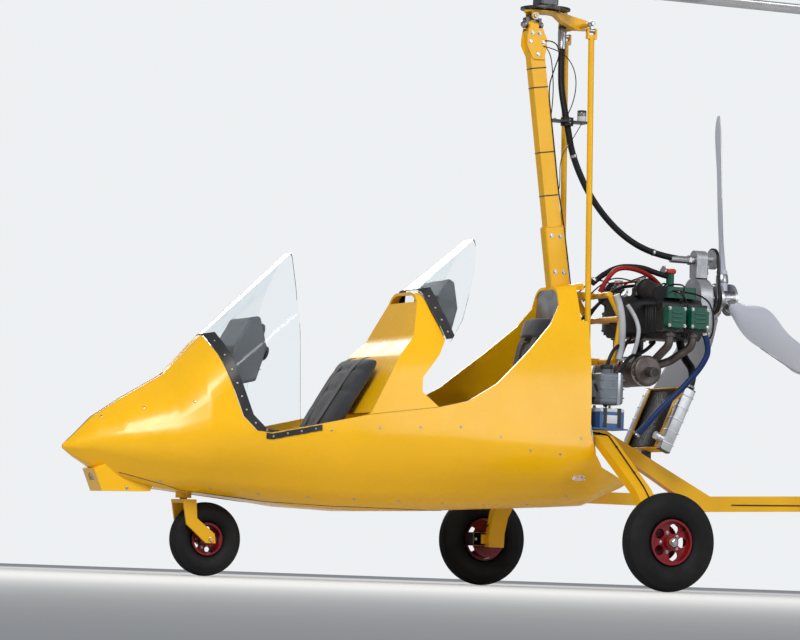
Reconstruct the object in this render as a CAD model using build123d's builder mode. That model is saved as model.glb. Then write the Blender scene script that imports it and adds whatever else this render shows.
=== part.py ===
import os
from collections import namedtuple
from math import atan2, cos, hypot, pi, radians, sin, tan

from build123d import *

# Tandem two-seat open gyrocopter, millimetres.
# +X aft, +Y starboard, +Z up; the origin is on the ground under the rotor shaft.

# Rotor
rotor_diameter = 8530.0
rotor_chord = 216.0
rotor_blade_thickness = 24.0
hub_bar_length = 1080.0
hub_bar_width = 54.0
hub_bar_height = 40.0

# Undercarriage
track = 1700.0
main_axle_x = 200.0
main_tyre_diameter = 400.0
main_tyre_width = 100.0
main_rim_diameter = 184.0
main_axle_diameter = 20.0
nose_axle_x = -1452.0
steering_x = -1551.0
nose_tyre_diameter = 298.0
nose_tyre_width = 88.0
nose_rim_diameter = 132.0
nose_axle_diameter = 16.0
fork_crown_bottom = nose_tyre_diameter - 8
fork_crown_top = fork_crown_bottom + 15
pivot_tube_bottom = fork_crown_top + 6

# Body
hull_wall = 12.0
screen_thickness = 4.0
strip_thickness = 3.0
strip_width = 40.0
strip_lift = 0.2
firewall_thickness = 6.0

# Chassis
keel_width = 50.0
keel_height = 50.0
keel_top = 410.0
keel_front_x = -1600.0
mast_depth = 90.0
mast_width = 56.0
upper_mast_depth = 66.0
upper_mast_width = 48.0
mast_slope = -0.1473
mast_mid_x = 95.0
mast_mid_z = 1300.0
mast_seam_z = 1508.0
mast_top_z = 2328.0

# Rotor head, stacked up from the top of the mast
roll_x = -60.0
roll_z = mast_top_z + 24
roll_bolt_diameter = 16.0
pitch_z = roll_z + 35
plate_bottom = pitch_z + 17
plate_thickness = 8.0
pitch_bolt_diameter = 12.0
ring_gear_diameter = 210.0
ring_gear_z = plate_bottom + plate_thickness + 6
ring_gear_thickness = 9.0
bearing_top = ring_gear_z + 58
teeter_z = bearing_top + 62
rod_eye_x = 160.0
rod_eye_z = pitch_z - 25
rod_eye_y = 118.0
push_rod_diameter = 25.0

# Power plant
crank_z = 1150.0
propeller_axis_z = 1253.0
crankcase_front, crankcase_rear = 380.0, 742.0
gearbox_rear = crankcase_rear + 64
pulley_x = gearbox_rear + 32
propeller_x = pulley_x + 53
propeller_radius = 800.0

# Tail
boom_slope = 0.04
rudder_hinge_x = 2110.0
stabiliser_half_span = 450.0
tail_plane_thickness = 28.0

# A shaft turns in its bore with this much space all round.
running_clearance = 0.05

parts_folder = "parts"
os.makedirs(parts_folder, exist_ok=True)


def save(piece, name):
    piece.part.label = name
    export_step(piece.part, f"{parts_folder}/{name}.step")


def mast_x(z):
    """Where the leaning centre line of the mast passes at height z."""
    return mast_mid_x + mast_slope * (z - mast_mid_z)


def corner_radii(points, share):
    """The largest arc at each inner corner that uses this share of its shorter side."""
    radii = []
    for (ax, ay), (bx, by), (cx, cy) in zip(points, points[1:], points[2:]):
        into = atan2(by - ay, bx - ax)
        out = atan2(cy - by, cx - bx)
        turn = abs((out - into + pi) % (2 * pi) - pi)
        side = min(hypot(bx - ax, by - ay), hypot(cx - bx, cy - by))
        radii.append(share * side / tan(turn / 2))
    return radii


def side_prism(points, half_width):
    """A solid of a side profile given as (x, z) points, as wide as asked."""
    with BuildPart() as prism:
        with BuildSketch(Plane.XZ):
            with BuildLine():
                Polyline(*points, close=True)
            make_face()
        extrude(amount=half_width, both=True)
    return prism.part


# Hull sections
Station = namedtuple("Station", "x keel_z keel_y beam_z beam_y shoulder_z shoulder_y crown_z crown_y")
corner_share = 0.46
hull_stations = [
    Station(-2030, 456, 16, 495, 46, 522, 38, 545, 10),
    Station(-1960, 418, 32, 506, 92, 566, 72, 617, 18),
    Station(-1840, 368, 60, 502, 168, 622, 124, 698, 24),
    Station(-1666, 341, 112, 506, 240, 690, 170, 802, 28),
    Station(-1540, 332, 150, 520, 285, 800, 210, 938, 32),
    Station(-1332, 315, 175, 520, 305, 958, 218, 1135, 40),
    Station(-1120, 292, 198, 520, 325, 1120, 226, 1335, 50),
    Station(-850, 284, 205, 516, 335, 930, 265, 1175, 108),
    Station(-560, 295, 205, 515, 338, 965, 262, 1196, 110),
    Station(-250, 316, 200, 515, 335, 930, 255, 1215, 105),
    Station(0, 331, 190, 515, 325, 920, 240, 1245, 95),
    Station(183, 345, 175, 515, 305, 900, 238, 1281, 80),
    Station(372, 423, 120, 500, 230, 620, 200, 720, 90),
]
nose_point = Station(-2074, 486, 4, 494, 9, 499, 8, 504, 4)
screen_front, screen_back = hull_stations[4], hull_stations[6]
rear_screen_front = Station(-620, 292, 205, 515, 338, 950, 262, 1178, 110)
rear_screen_back = Station(-300, 312, 200, 515, 336, 1150, 215, 1447, 62)


def wall_points(station, offset):
    """The starboard half outline of the body at a station, drawn in by the offset."""
    s = station
    return [
        (0, s.keel_z + offset),
        (s.keel_y - offset / 2, s.keel_z + offset),
        (s.beam_y - offset, s.beam_z),
        (s.shoulder_y - offset, s.shoulder_z - offset / 3),
        (s.crown_y - offset / 3, s.crown_z - offset),
        (0, s.crown_z - offset),
    ]


def hull_section(station, inset):
    """One whole cross-section of the body."""
    points = wall_points(station, inset)
    with BuildSketch(Plane.YZ.offset(station.x)) as section:
        with BuildLine():
            FilletPolyline(*points, radius=corner_radii(points, corner_share))
            mirror(about=Plane.YZ)
        make_face()
    return section.sketch


def body_solid(stations, inset):
    """A solid lofted through the stations."""
    sections = [hull_section(station, inset) for station in stations]
    with BuildPart() as body:
        loft(sections, ruled=True)
    return body.part


def wall_section(station, outset, inset):
    """The starboard half of the wall at one station, between two offsets of it."""
    walls = [wall_points(station, offset) for offset in (-outset, inset)]
    with BuildSketch(Plane.YZ.offset(station.x)) as section:
        with BuildLine():
            for points in walls:
                FilletPolyline(*points, radius=corner_radii(points, corner_share))
            for end in (0, -1):
                Line(walls[0][end], walls[1][end])
        make_face()
    return section.sketch


def half_shell(stations, outset, inset):
    """The starboard moulding of a shell that follows the stations."""
    sections = [wall_section(station, outset, inset) for station in stations]
    with BuildPart() as moulding:
        loft(sections, ruled=True)
    return moulding.part


# Edges of the openings, seen from the side
hood_edge = [(-1512, 972), (-1466, 797), (-1416, 640), (-1362, 585), (-1300, 578)]
sill = [(-1107, 620), (-889, 670)]
cowl_front = [(-875, 680), (-739, 916), (-664, 1000), (-612, 1150)]
cowl_rear = [(-588, 1202), (-560, 1100), (-524, 994), (-560, 930), (-640, 835), (-646, 775)]
rear_sill = [(-573, 715), (-438, 747), (-302, 825), (-133, 971), (-7, 1092), (45, 1172)]
pylon_rear = [(183, 1283), (178, 1182), (166, 1022), (129, 649), (150, 560), (190, 504), (380, 440)]
above = 1500.0
beyond = 500.0
front_cockpit = side_prism(
    [(-1512, above)] + hood_edge + sill + cowl_front + [(-604, above)], beyond
)
rear_cockpit = side_prism(
    [(-592, above)] + cowl_rear + rear_sill + [(52, 1275), (52, above)], beyond
)
engine_bay = side_prism([(183, above)] + pylon_rear + [(380, above)], beyond)
seam = [(-889, 670), (-573, 715)]
cowl_zone = side_prism([seam[0], seam[1], (-480, above), (-889, above)], beyond)

chin = side_prism([(-1962, 412), (-1925, 324), (-1721, 330), (-1690, 400), (-1900, 440)], 66)
lamp_plane = Plane(
    origin=(-1943.5, 0, 368), x_dir=(0, 1, 0), z_dir=(-0.922, 0, -0.388)
)
lamp_diameter = 60.0
lamp_depth = 10.0
pivot_tube_diameter = 64.0
pivot_hole_clearance = 0.3

starboard_shell = half_shell(hull_stations, 0, hull_wall)

# The body is moulded in halves that meet on the centre line.
with BuildPart() as fuselage_half:
    add(starboard_shell)
    for opening in (front_cockpit, rear_cockpit, engine_bay, cowl_zone):
        add(opening, mode=Mode.SUBTRACT)
    with BuildSketch(Plane.XY.offset(250)):
        with Locations((steering_x, 0)):
            Circle(pivot_tube_diameter / 2 + pivot_hole_clearance)
    extrude(amount=120, mode=Mode.SUBTRACT)
    # The mast leaves through the crown of the pylon, the keel through the stern.
    with Locations((mast_x(1270), 0, 1280)):
        Box(mast_depth + 22, mast_width + 6, 120, mode=Mode.SUBTRACT)
    with Locations((290, 0, keel_top - keel_height / 2)):
        Box(200, keel_width + 6, keel_height + 12, mode=Mode.SUBTRACT)
    # Notch where the push rod comes down beside the pylon
    with Locations((190, rod_eye_y - 2, 1190)):
        Box(100, 68, 240, mode=Mode.SUBTRACT)
save(fuselage_half, "fuselage_right")
with BuildPart() as port_half:
    mirror(fuselage_half.part, about=Plane.XZ)
save(port_half, "fuselage_left")
with BuildPart() as nose_tip:
    add(body_solid([nose_point, hull_stations[0]], 0))
save(nose_tip, "nose_tip")

# The lamp housing hangs under the nose.
with BuildPart() as chin_housing:
    add(chin)
    add(body_solid(hull_stations[:4], -0.3), mode=Mode.SUBTRACT)
    with BuildSketch(lamp_plane):
        Circle(lamp_diameter / 2)
    extrude(amount=-lamp_depth, mode=Mode.SUBTRACT)
save(chin_housing, "chin_housing")
with BuildPart() as landing_light:
    with BuildSketch(lamp_plane.offset(-lamp_depth)):
        Circle(lamp_diameter / 2 - 0.3)
    extrude(amount=lamp_depth - 2)
save(landing_light, "landing_light")

# The cowl behind the front seat is a panel of its own, closed by a bulkhead.
cowl_limits = side_prism(
    [(seam[0][0], seam[0][1] + 2), (seam[1][0], seam[1][1] + 2), (-480, above), (-889, above)], beyond
)
bulkhead = side_prism(cowl_front + [(x + 14, z - 6) for x, z in reversed(cowl_front)], beyond)
with BuildPart() as seat_back_cowl:
    add(half_shell(hull_stations[6:10], 0, hull_wall))
    add(front_cockpit, mode=Mode.SUBTRACT)
    add(rear_cockpit, mode=Mode.SUBTRACT)
    add(cowl_limits, mode=Mode.INTERSECT)
    mirror(about=Plane.XZ)
with BuildPart() as cowl_bulkhead:
    add(body_solid(hull_stations[6:10], 1))
    add(bulkhead, mode=Mode.INTERSECT)
    add(cowl_limits, mode=Mode.INTERSECT)
with seat_back_cowl:
    add(cowl_bulkhead.part)
save(seat_back_cowl, "seat_back_cowl")

# Firewall, parallel to the mast and against its front face
mast_tilt = atan2(-mast_slope, 1)
firewall_back_x = mast_x(850) - mast_depth / 2 / cos(mast_tilt)
firewall_plane = Plane(
    origin=(firewall_back_x, 0, 850), x_dir=(0, 1, 0), z_dir=(-1, 0, mast_slope)
)
with BuildPart() as firewall:
    with BuildSketch(firewall_plane):
        Rectangle(800, 1400)
    extrude(amount=firewall_thickness)
    add(body_solid(hull_stations[9:], hull_wall + 1), mode=Mode.INTERSECT)
    with Locations((160, 0, keel_top - keel_height / 2)):
        Box(160, keel_width + 4, keel_height + 4, mode=Mode.SUBTRACT)
save(firewall, "firewall")

# Screens: sheets that continue the body's lines above the cockpit edges
front_screen_edge = [(x + 2, z) for x, z in hood_edge[:4]] + [(-1300, 581)]
front_screen_profile = [(-1510, above)] + front_screen_edge + [
    (-1182, 607), (-1166, 1124), (-1137, 1319), (-1137, above)
]
rear_screen_edge = [(-586, 1206), (-558, 1102), (-522, 996)]
rear_screen_profile = [(-586, above)] + rear_screen_edge + [
    (-505, 985), (-440, 1080), (-352, 1290), (-320, 1430), (-320, above)
]
Screen = namedtuple("Screen", "stations profile edge")
screens = [
    Screen([screen_front, screen_back], front_screen_profile, front_screen_edge),
    Screen([rear_screen_front, rear_screen_back], rear_screen_profile, rear_screen_edge),
]


def cut_shell(stations, outset, inset, limits):
    """Both mouldings of a shell, kept inside the side profiles."""
    with BuildPart() as shell:
        add(half_shell(stations, outset, inset))
        for limit in limits:
            add(side_prism(limit, beyond), mode=Mode.INTERSECT)
        mirror(about=Plane.XZ)
    return shell.part


strip_bands = [
    screen.edge + [(x + strip_width, z + 8) for x, z in reversed(screen.edge)] for screen in screens
]
with BuildPart() as windscreens:
    for screen in screens:
        add(cut_shell(screen.stations, 0, screen_thickness, [screen.profile]))
save(windscreens, "windscreens")
with BuildPart() as screen_strips:
    for screen, band in zip(screens, strip_bands):
        add(cut_shell(screen.stations, strip_thickness, -strip_lift, [band, screen.profile]))
save(screen_strips, "screen_strips")


def profile_block(points, half_width, radius, round_edges=0.0):
    """A block of a filleted side profile, its long edges rounded if asked."""
    with BuildPart() as block:
        with BuildSketch(Plane.XZ):
            with BuildLine():
                FilletPolyline(*points, radius=radius, close=True)
            make_face()
        extrude(amount=half_width, both=True)
        if round_edges:
            faces = block.faces().filter_by(Axis.Y)
            fillet(faces.edges(), round_edges)
    return block.part


# Instrument pods, on the hood inside the screen and on the cowl
front_pod = [
    (-1436, 800), (-1398, 930), (-1330, 1046), (-1290, 1052), (-1256, 925), (-1300, 790), (-1400, 765),
]
rear_pod = [(-508, 1180), (-463, 1256), (-436, 1240), (-417, 1134), (-446, 1022), (-494, 1015)]
console = [(-1522, keel_top), (-1522, 740), (-1440, 800), (-1400, 775), (-1466, 720), (-1466, keel_top)]
with BuildPart() as instrument_pods:
    add(profile_block(front_pod, 112, 14, 10))
    add(profile_block(console, 48, 10))
    add(profile_block(rear_pod, 120.8, 12, 8))
    with Locations((-546, 0, 1085)):
        Box(128, 70, 44)
save(instrument_pods, "instrument_pods")

# Seats stand on the keel and lean on the bulkhead and the firewall.
front_seat = [
    (-1400, keel_top), (-1402, 470), (-1340, 492), (-1076, 462),
    (-805, 905), (-746, 910), (-884, 665), (-1010, 450), (-1012, keel_top),
]
rear_seat = [
    (-480, keel_top), (-500, 500), (-440, 525), (-84, 480),
    (-6, 1060), (20, 1096), (62, 1090), (143, 560), (140, keel_top),
]
with BuildPart() as seats:
    add(profile_block(front_seat, 180, 18, 12))
    add(profile_block(rear_seat, 136, 14, 10))
save(seats, "seats")

stick_diameter = 20.0
sticks = [
    [(-1436, keel_top), (-1436, 500), (-1402, 640)],
    [(-560, keel_top), (-560, 520), (-528, 660)],
]
with BuildPart() as control_sticks:
    for points in sticks:
        with BuildLine(Plane.XZ) as stick_line:
            FilletPolyline(*points, radius=120)
        with BuildSketch(Plane(origin=(points[0][0], 0, points[0][1]), z_dir=stick_line.line % 0)):
            Circle(stick_diameter / 2)
        sweep(path=stick_line.line)
    for x, z in (points[-1] for points in sticks):
        with Locations((x + 6, 0, z + 30)):
            Cylinder(17, 110)
save(control_sticks, "control_sticks")


def centred_cylinder(centre, axis, diameter, length, bore=0.0):
    """A round bar or tube along an axis, centred on a point."""
    with BuildPart() as bar:
        with BuildSketch(Plane(origin=centre, z_dir=axis)):
            Circle(diameter / 2)
            if bore:
                Circle(bore / 2, mode=Mode.SUBTRACT)
        extrude(amount=length / 2, both=True)
    return bar.part


def tube_path(points, diameter, radius):
    """A round tube along straight runs with bends of one radius."""
    with BuildPart() as tube:
        with BuildLine() as line:
            if len(points) > 2:
                FilletPolyline(*points, radius=radius)
            else:
                Line(*points)
        with BuildSketch(Plane(origin=points[0], z_dir=line.line % 0)):
            Circle(diameter / 2)
        sweep(path=line.line)
    return tube.part


# Keel, boom and strut: one welded frame from the nose pivot to the tail
boom_z = 378.0
boom_height = 66.0
boom_bend_x = 849.0
boom_end_x = rudder_hinge_x + 450
steerer_diameter = 30.0
boom_top_at_bend = boom_z + boom_height / 2
boom_rise = boom_slope * (boom_end_x - boom_bend_x)
keel_profile = [
    (keel_front_x, keel_top), (720, keel_top), (boom_bend_x, boom_top_at_bend),
    (boom_end_x, boom_top_at_bend + boom_rise),
    (boom_end_x, boom_top_at_bend + boom_rise - boom_height),
    (boom_bend_x, boom_top_at_bend - boom_height), (720, keel_top - keel_height),
    (keel_front_x, keel_top - keel_height),
]
strut_profile = [
    (245, 668), (340, 668), (368, 652), (596, 536), (boom_bend_x, boom_top_at_bend - 2),
    (700, keel_top - 6), (575, 476), (452, 543), (330, 606), (245, 606),
]
skid_x = 1990.0
with BuildPart() as keel_boom:
    add(side_prism(keel_profile, keel_width / 2))
    add(side_prism(strut_profile, keel_width / 2))
    with Locations((steering_x, 0, (pivot_tube_bottom + keel_top) / 2)):
        Cylinder(pivot_tube_diameter / 2, keel_top - pivot_tube_bottom)
    with Locations((steering_x, 0, pivot_tube_bottom)):
        Cylinder(
            steerer_diameter / 2 + running_clearance, 150, mode=Mode.SUBTRACT
        )
    add(side_prism([(skid_x - 40, 396), (skid_x + 30, 396), (skid_x + 14, 262), (skid_x - 6, 262)], 9))
    add(centred_cylinder((skid_x, 0, 270), (0, 1, 0), 44, 26))
save(keel_boom, "keel_boom")


def mast_plane(z):
    return Plane(origin=(mast_x(z), 0, z), x_dir=(1, 0, -mast_slope), z_dir=(mast_slope, 0, 1))


mast_stretch = hypot(1, mast_slope)
with BuildPart() as mast:
    with BuildSketch(mast_plane(keel_top - 20)):
        Rectangle(mast_depth, mast_width)
    extrude(amount=(mast_seam_z - keel_top + 20) * mast_stretch)
    fillet(mast.edges().filter_by(Axis(mast_plane(0).origin, mast_plane(0).z_dir)), 8)
    with BuildSketch(mast_plane(mast_seam_z)) as upper_section:
        Rectangle(upper_mast_depth, upper_mast_width)
    extrude(amount=(mast_top_z - mast_seam_z) * mast_stretch)
    split(bisect_by=Plane.XY.offset(keel_top), keep=Keep.TOP)
    split(bisect_by=Plane.XY.offset(mast_top_z), keep=Keep.BOTTOM)
save(mast, "mast")

# Mast head: cheek plates, cap and the eye of the roll bolt
cheek_bottom, cheek_belly, cheek_top = mast_top_z - 122, mast_top_z - 58, mast_top_z + 8
cheek_profile = [
    (mast_x(cheek_bottom) - 26, cheek_bottom), (mast_x(cheek_bottom) + 26, cheek_bottom),
    (mast_x(cheek_belly) + 46, cheek_belly - 8), (mast_x(cheek_belly) + 46, cheek_belly + 22),
    (mast_x(mast_top_z - 8) + 32, cheek_top), (mast_x(mast_top_z - 8) - 32, cheek_top),
    (mast_x(cheek_belly) - 46, cheek_belly + 22), (mast_x(cheek_belly) - 46, cheek_belly - 8),
]
cheek_thickness = 6.0
roll_eye_diameter = 32.0
roll_eye_length = 44.0
with BuildPart() as mast_head:
    for side in (-1, 1):
        with BuildSketch(Plane.XZ.offset(-side * (upper_mast_width / 2 + cheek_thickness / 2))):
            with BuildLine():
                Polyline(*cheek_profile, close=True)
            make_face()
        extrude(amount=cheek_thickness / 2, both=True)
    with Locations((roll_x, 0, (mast_top_z + roll_z) / 2)):
        Box(40, upper_mast_width, roll_z - mast_top_z)
    add(centred_cylinder((roll_x, 0, roll_z), (1, 0, 0), roll_eye_diameter, roll_eye_length))
    add(
        centred_cylinder(
            (roll_x, 0, roll_z), (1, 0, 0), roll_bolt_diameter + 2 * running_clearance, 80
        ),
        mode=Mode.SUBTRACT,
    )
save(mast_head, "mast_head")

# Gimbal block: hangs on the roll bolt and carries the pitch bolt
lug_thickness = 12.0
lug_gap = 2.0
lug_centre = roll_eye_length / 2 + lug_gap + lug_thickness / 2
gimbal_reach = lug_centre + lug_thickness / 2
bridge_bottom = roll_z + roll_eye_diameter / 2 + 4
pitch_boss_diameter = 26.0
with BuildPart() as gimbal_block:
    for side in (-1, 1):
        lug_x = roll_x + side * lug_centre
        add(centred_cylinder((lug_x, 0, roll_z), (1, 0, 0), 32, lug_thickness))
        with Locations((lug_x, 0, (roll_z + bridge_bottom + 8) / 2)):
            Box(lug_thickness, 32, bridge_bottom + 8 - roll_z)
    with Locations((roll_x, 0, bridge_bottom + 4)):
        Box(2 * gimbal_reach, 32, 8)
    add(centred_cylinder((roll_x, 0, pitch_z), (0, 1, 0), pitch_boss_diameter, 44))
    add(
        centred_cylinder((roll_x, 0, pitch_z), (0, 1, 0), pitch_bolt_diameter + 2 * running_clearance, 80),
        mode=Mode.SUBTRACT,
    )
    add(centred_cylinder((roll_x, 0, roll_z), (1, 0, 0), roll_bolt_diameter, 2 * gimbal_reach + 24))
save(gimbal_block, "gimbal_block")

# Torque bar: cheeks on the pitch bolt, plate, spindle, arm and crossbar
spindle_diameter = 30.0
pinion_x, pinion_y = 113.0, 60.0
crossbar_diameter = 20.0
rod_pin_diameter = 14.0
starter_bottom = plate_bottom - 134
arm_profile = [
    (34, plate_bottom), (34, plate_bottom + plate_thickness), (70, plate_bottom + plate_thickness),
    (196, pitch_z - 1), (196, pitch_z - 39), (140, pitch_z - 41), (70, pitch_z - 11),
]
with BuildPart() as torque_bar:
    for side in (-1, 1):
        with Locations((roll_x, side * 28, (pitch_z + plate_bottom) / 2 + 2)):
            Box(32, 8, plate_bottom - pitch_z + 4)
        add(centred_cylinder((roll_x, side * 28, pitch_z), (0, 1, 0), 32, 8))
    add(centred_cylinder((roll_x, 0, pitch_z), (0, 1, 0), pitch_bolt_diameter, 84))
    with BuildSketch(Plane.XY.offset(plate_bottom)):
        with Locations((roll_x, 0)):
            Circle(36)
        Circle(48)
        make_hull()
    extrude(amount=plate_thickness)
    with BuildSketch(Plane.XY.offset(plate_bottom)):
        with Locations((20, 10)):
            Circle(24)
        with Locations((pinion_x, pinion_y)):
            Circle(24)
        make_hull()
    extrude(amount=plate_thickness)
    add(side_prism(arm_profile, 20))
    add(centred_cylinder((rod_eye_x, 0, rod_eye_z), (0, 1, 0), crossbar_diameter, 2 * rod_eye_y - 28))
    add(centred_cylinder((rod_eye_x, 0, rod_eye_z), (0, 1, 0), rod_pin_diameter, 2 * rod_eye_y + 28))
    add(centred_cylinder((pinion_x, pinion_y, (starter_bottom + plate_bottom) / 2), (0, 0, 1), 34, 134))
    add(centred_cylinder((pinion_x, pinion_y, plate_bottom + plate_thickness + 8), (0, 0, 1), 36, 16))
    with BuildSketch(Plane.XY.offset(plate_bottom)):
        Circle(spindle_diameter / 2)
    extrude(amount=bearing_top + 4 - plate_bottom)
    with BuildSketch(Plane.XY.offset(bearing_top + 2)):
        Circle(22)
    extrude(amount=14)
save(torque_bar, "torque_bar")

# Rotor hub: ring gear, bearing block and the towers that hold the teeter bolt
teeter_bolt_diameter = 16.0
tower_gap = hub_bar_width / 2 + 6
tower_thickness = 10.0
ring_teeth = 72
with BuildPart() as rotor_hub:
    with BuildSketch(Plane.XY.offset(ring_gear_z)):
        Circle(ring_gear_diameter / 2)
        with PolarLocations(ring_gear_diameter / 2, ring_teeth):
            Rectangle(7, 3.4, mode=Mode.SUBTRACT)
        with PolarLocations(68, 6):
            Circle(15, mode=Mode.SUBTRACT)
    extrude(amount=ring_gear_thickness)
    with BuildSketch(Plane.XY.offset(ring_gear_z)):
        Circle(38)
    extrude(amount=24)
    with BuildSketch(Plane.XY.offset(ring_gear_z + 22)):
        RectangleRounded(84, 2 * (tower_gap + tower_thickness), 10)
    extrude(amount=bearing_top - ring_gear_z - 22)
    for side in (-1, 1):
        with BuildSketch(Plane.XZ.offset(-side * (tower_gap + tower_thickness / 2))):
            with Locations((0, (bearing_top + teeter_z) / 2 - 4)):
                Rectangle(56, teeter_z - bearing_top + 8)
            with Locations((0, teeter_z)):
                Circle(24)
        extrude(amount=tower_thickness / 2, both=True)
    Cylinder(spindle_diameter / 2 + running_clearance, 6000, mode=Mode.SUBTRACT)
    add(
        centred_cylinder(
            (0, 0, teeter_z), (0, 1, 0), teeter_bolt_diameter, 2 * (tower_gap + tower_thickness) + 24
        )
    )
save(rotor_hub, "rotor_hub")

# Hub bar, drilled for the teeter bolt, with the straps that grip the blades
blade_root = 400.0
with BuildPart() as hub_bar:
    with Locations((0, 0, teeter_z)):
        Box(hub_bar_length, hub_bar_width, hub_bar_height)
    with Locations((0, 0, teeter_z)):
        Box(200, hub_bar_width, hub_bar_height + 14)
    fillet(hub_bar.edges().filter_by(Axis.X), 6)
    with Locations((blade_root + 70, 0, teeter_z), (-blade_root - 70, 0, teeter_z)):
        Box(140, hub_bar_width, rotor_blade_thickness + 0.4, mode=Mode.SUBTRACT)
    add(
        centred_cylinder((0, 0, teeter_z), (0, 1, 0), teeter_bolt_diameter + 2 * running_clearance, 80),
        mode=Mode.SUBTRACT,
    )
save(hub_bar, "hub_bar")

# Blades: a symmetrical tapered-edge section with the nose a quarter chord ahead
quarter = rotor_chord / 4
blade_foot = hub_bar_length / 2 + 30
root_length = blade_foot - blade_root
with BuildPart() as rotor_blades:
    for side in (-1, 1):
        root_plane = Plane(
            origin=(side * blade_foot, 0, teeter_z), x_dir=(0, side, 0), z_dir=(side, 0, 0)
        )
        with BuildSketch(root_plane):
            with BuildLine():
                nose = ThreePointArc(
                    (-quarter + 14, rotor_blade_thickness / 2 - 3), (-quarter, 0),
                    (-quarter + 14, -rotor_blade_thickness / 2 + 3),
                )
                lower = ThreePointArc(nose @ 1, (0, -rotor_blade_thickness / 2), (3 * quarter, -1))
                rear = Line(lower @ 1, (3 * quarter, 1))
                ThreePointArc(rear @ 1, (0, rotor_blade_thickness / 2), nose @ 0)
            make_face()
        extrude(amount=rotor_diameter / 2 - blade_foot)
        with Locations((side * (blade_root + root_length / 2), 0, teeter_z)):
            Box(root_length, hub_bar_width - 6, rotor_blade_thickness - 4)
save(rotor_blades, "rotor_blades")

# Push rods on universal ends; the lower eyes are free
rod_joint_z = rod_eye_z - 28
rod_cross_pin = 10.0
rod_pin_bore = rod_pin_diameter + 2 * running_clearance
cross_pin_bore = rod_cross_pin + 2 * running_clearance
rod_bottom_z = 790.0
rod_bottom_x = 192.5
for side_name, side in (("left", -1), ("right", 1)):
    y = side * rod_eye_y
    with BuildPart() as rod_end:
        add(centred_cylinder((rod_eye_x, y, rod_eye_z), (0, 1, 0), 30, 16))
        with Locations((rod_eye_x, y, rod_joint_z + 10)):
            Box(14, 14, 20)
        add(centred_cylinder((rod_eye_x, y, rod_joint_z), (1, 0, 0), 20, 20))
        add(centred_cylinder((rod_eye_x, y, rod_eye_z), (0, 1, 0), rod_pin_bore, 40), mode=Mode.SUBTRACT)
        add(centred_cylinder((rod_eye_x, y, rod_joint_z), (1, 0, 0), rod_cross_pin, 50))
    save(rod_end, f"rod_end_{side_name}")
    with BuildPart() as push_rod:
        for ear in (-18, 18):
            add(centred_cylinder((rod_eye_x + ear, y, rod_joint_z), (1, 0, 0), 20, 8))
            with Locations((rod_eye_x + ear, y, rod_joint_z - 12)):
                Box(8, 20, 24)
        with Locations((rod_eye_x, y, rod_joint_z - 28)):
            Box(44, 20, 16)
        add(centred_cylinder((rod_eye_x, y, rod_joint_z), (1, 0, 0), cross_pin_bore, 60), mode=Mode.SUBTRACT)
        rod_ends = [(rod_eye_x, y, rod_joint_z - 30), (rod_bottom_x, y, rod_bottom_z)]
        add(tube_path(rod_ends, push_rod_diameter, 0))
    save(push_rod, f"push_rod_{side_name}")


# Wheels: every profile is turned round the axle, which lies along Y
def turned(profile, x, y, z):
    """A piece of (distance along the axle, radius) points turned round the axle."""
    with BuildPart() as piece:
        with BuildSketch(Plane(origin=(x, y, z), x_dir=(0, 1, 0), z_dir=(-1, 0, 0))):
            with BuildLine():
                Polyline(*profile, close=True)
            make_face()
        revolve(axis=Axis((x, y, z), (0, 1, 0)))
    return piece.part


def tyre(x, y, diameter, width, rim_diameter):
    """A tyre on its rim, round at the sides and gently crowned."""
    radius, half, bead = diameter / 2, width / 2, rim_diameter / 2
    belly = 0.42 * bead + 0.58 * radius
    shoulder = 0.05 * bead + 0.95 * radius
    with BuildPart() as piece:
        with BuildSketch(Plane(origin=(x, y, radius), x_dir=(0, 1, 0), z_dir=(-1, 0, 0))):
            with BuildLine():
                base = Line((-0.66 * half, bead), (0.66 * half, bead))
                right = ThreePointArc(base @ 1, (half, belly), (0.62 * half, shoulder))
                crown = ThreePointArc(right @ 1, (0, radius), (-0.62 * half, shoulder))
                ThreePointArc(crown @ 1, (-half, belly), base @ 0)
            make_face()
        revolve(axis=Axis((x, y, radius), (0, 1, 0)))
    return piece


def ring_profile(near, far, inner, outer):
    """The section of a plain ring, for turning round an axle."""
    return [(near, inner), (far, inner), (far, outer), (near, outer)]


def rim(x, y, wheel_radius, rim_diameter, width, hub_inner, hub_outer, bore, out, windows):
    """Barrel with flanges, a disc with windows, and a hub from hub_inner to hub_outer."""
    bead, half = rim_diameter / 2 - 0.3, 0.62 * width / 2
    barrel = ring_profile(-half, half, bead - 8, bead)
    hub = ring_profile(hub_inner * out, hub_outer * out, bore / 2, 26)
    disc = ring_profile(6 * out, 12 * out, 24, bead - 5)
    with BuildPart() as piece:
        for profile in (barrel, hub, disc):
            add(turned(profile, x, y, wheel_radius))
        with BuildSketch(Plane(origin=(x, y, wheel_radius), x_dir=(1, 0, 0), z_dir=(0, 1, 0))):
            with PolarLocations((bead + 20) / 2, windows):
                Circle((bead - 38) / 2.6)
        extrude(amount=width / 2, both=True, mode=Mode.SUBTRACT)
        for profile in (barrel, hub):
            add(turned(profile, x, y, wheel_radius))
    return piece


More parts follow.
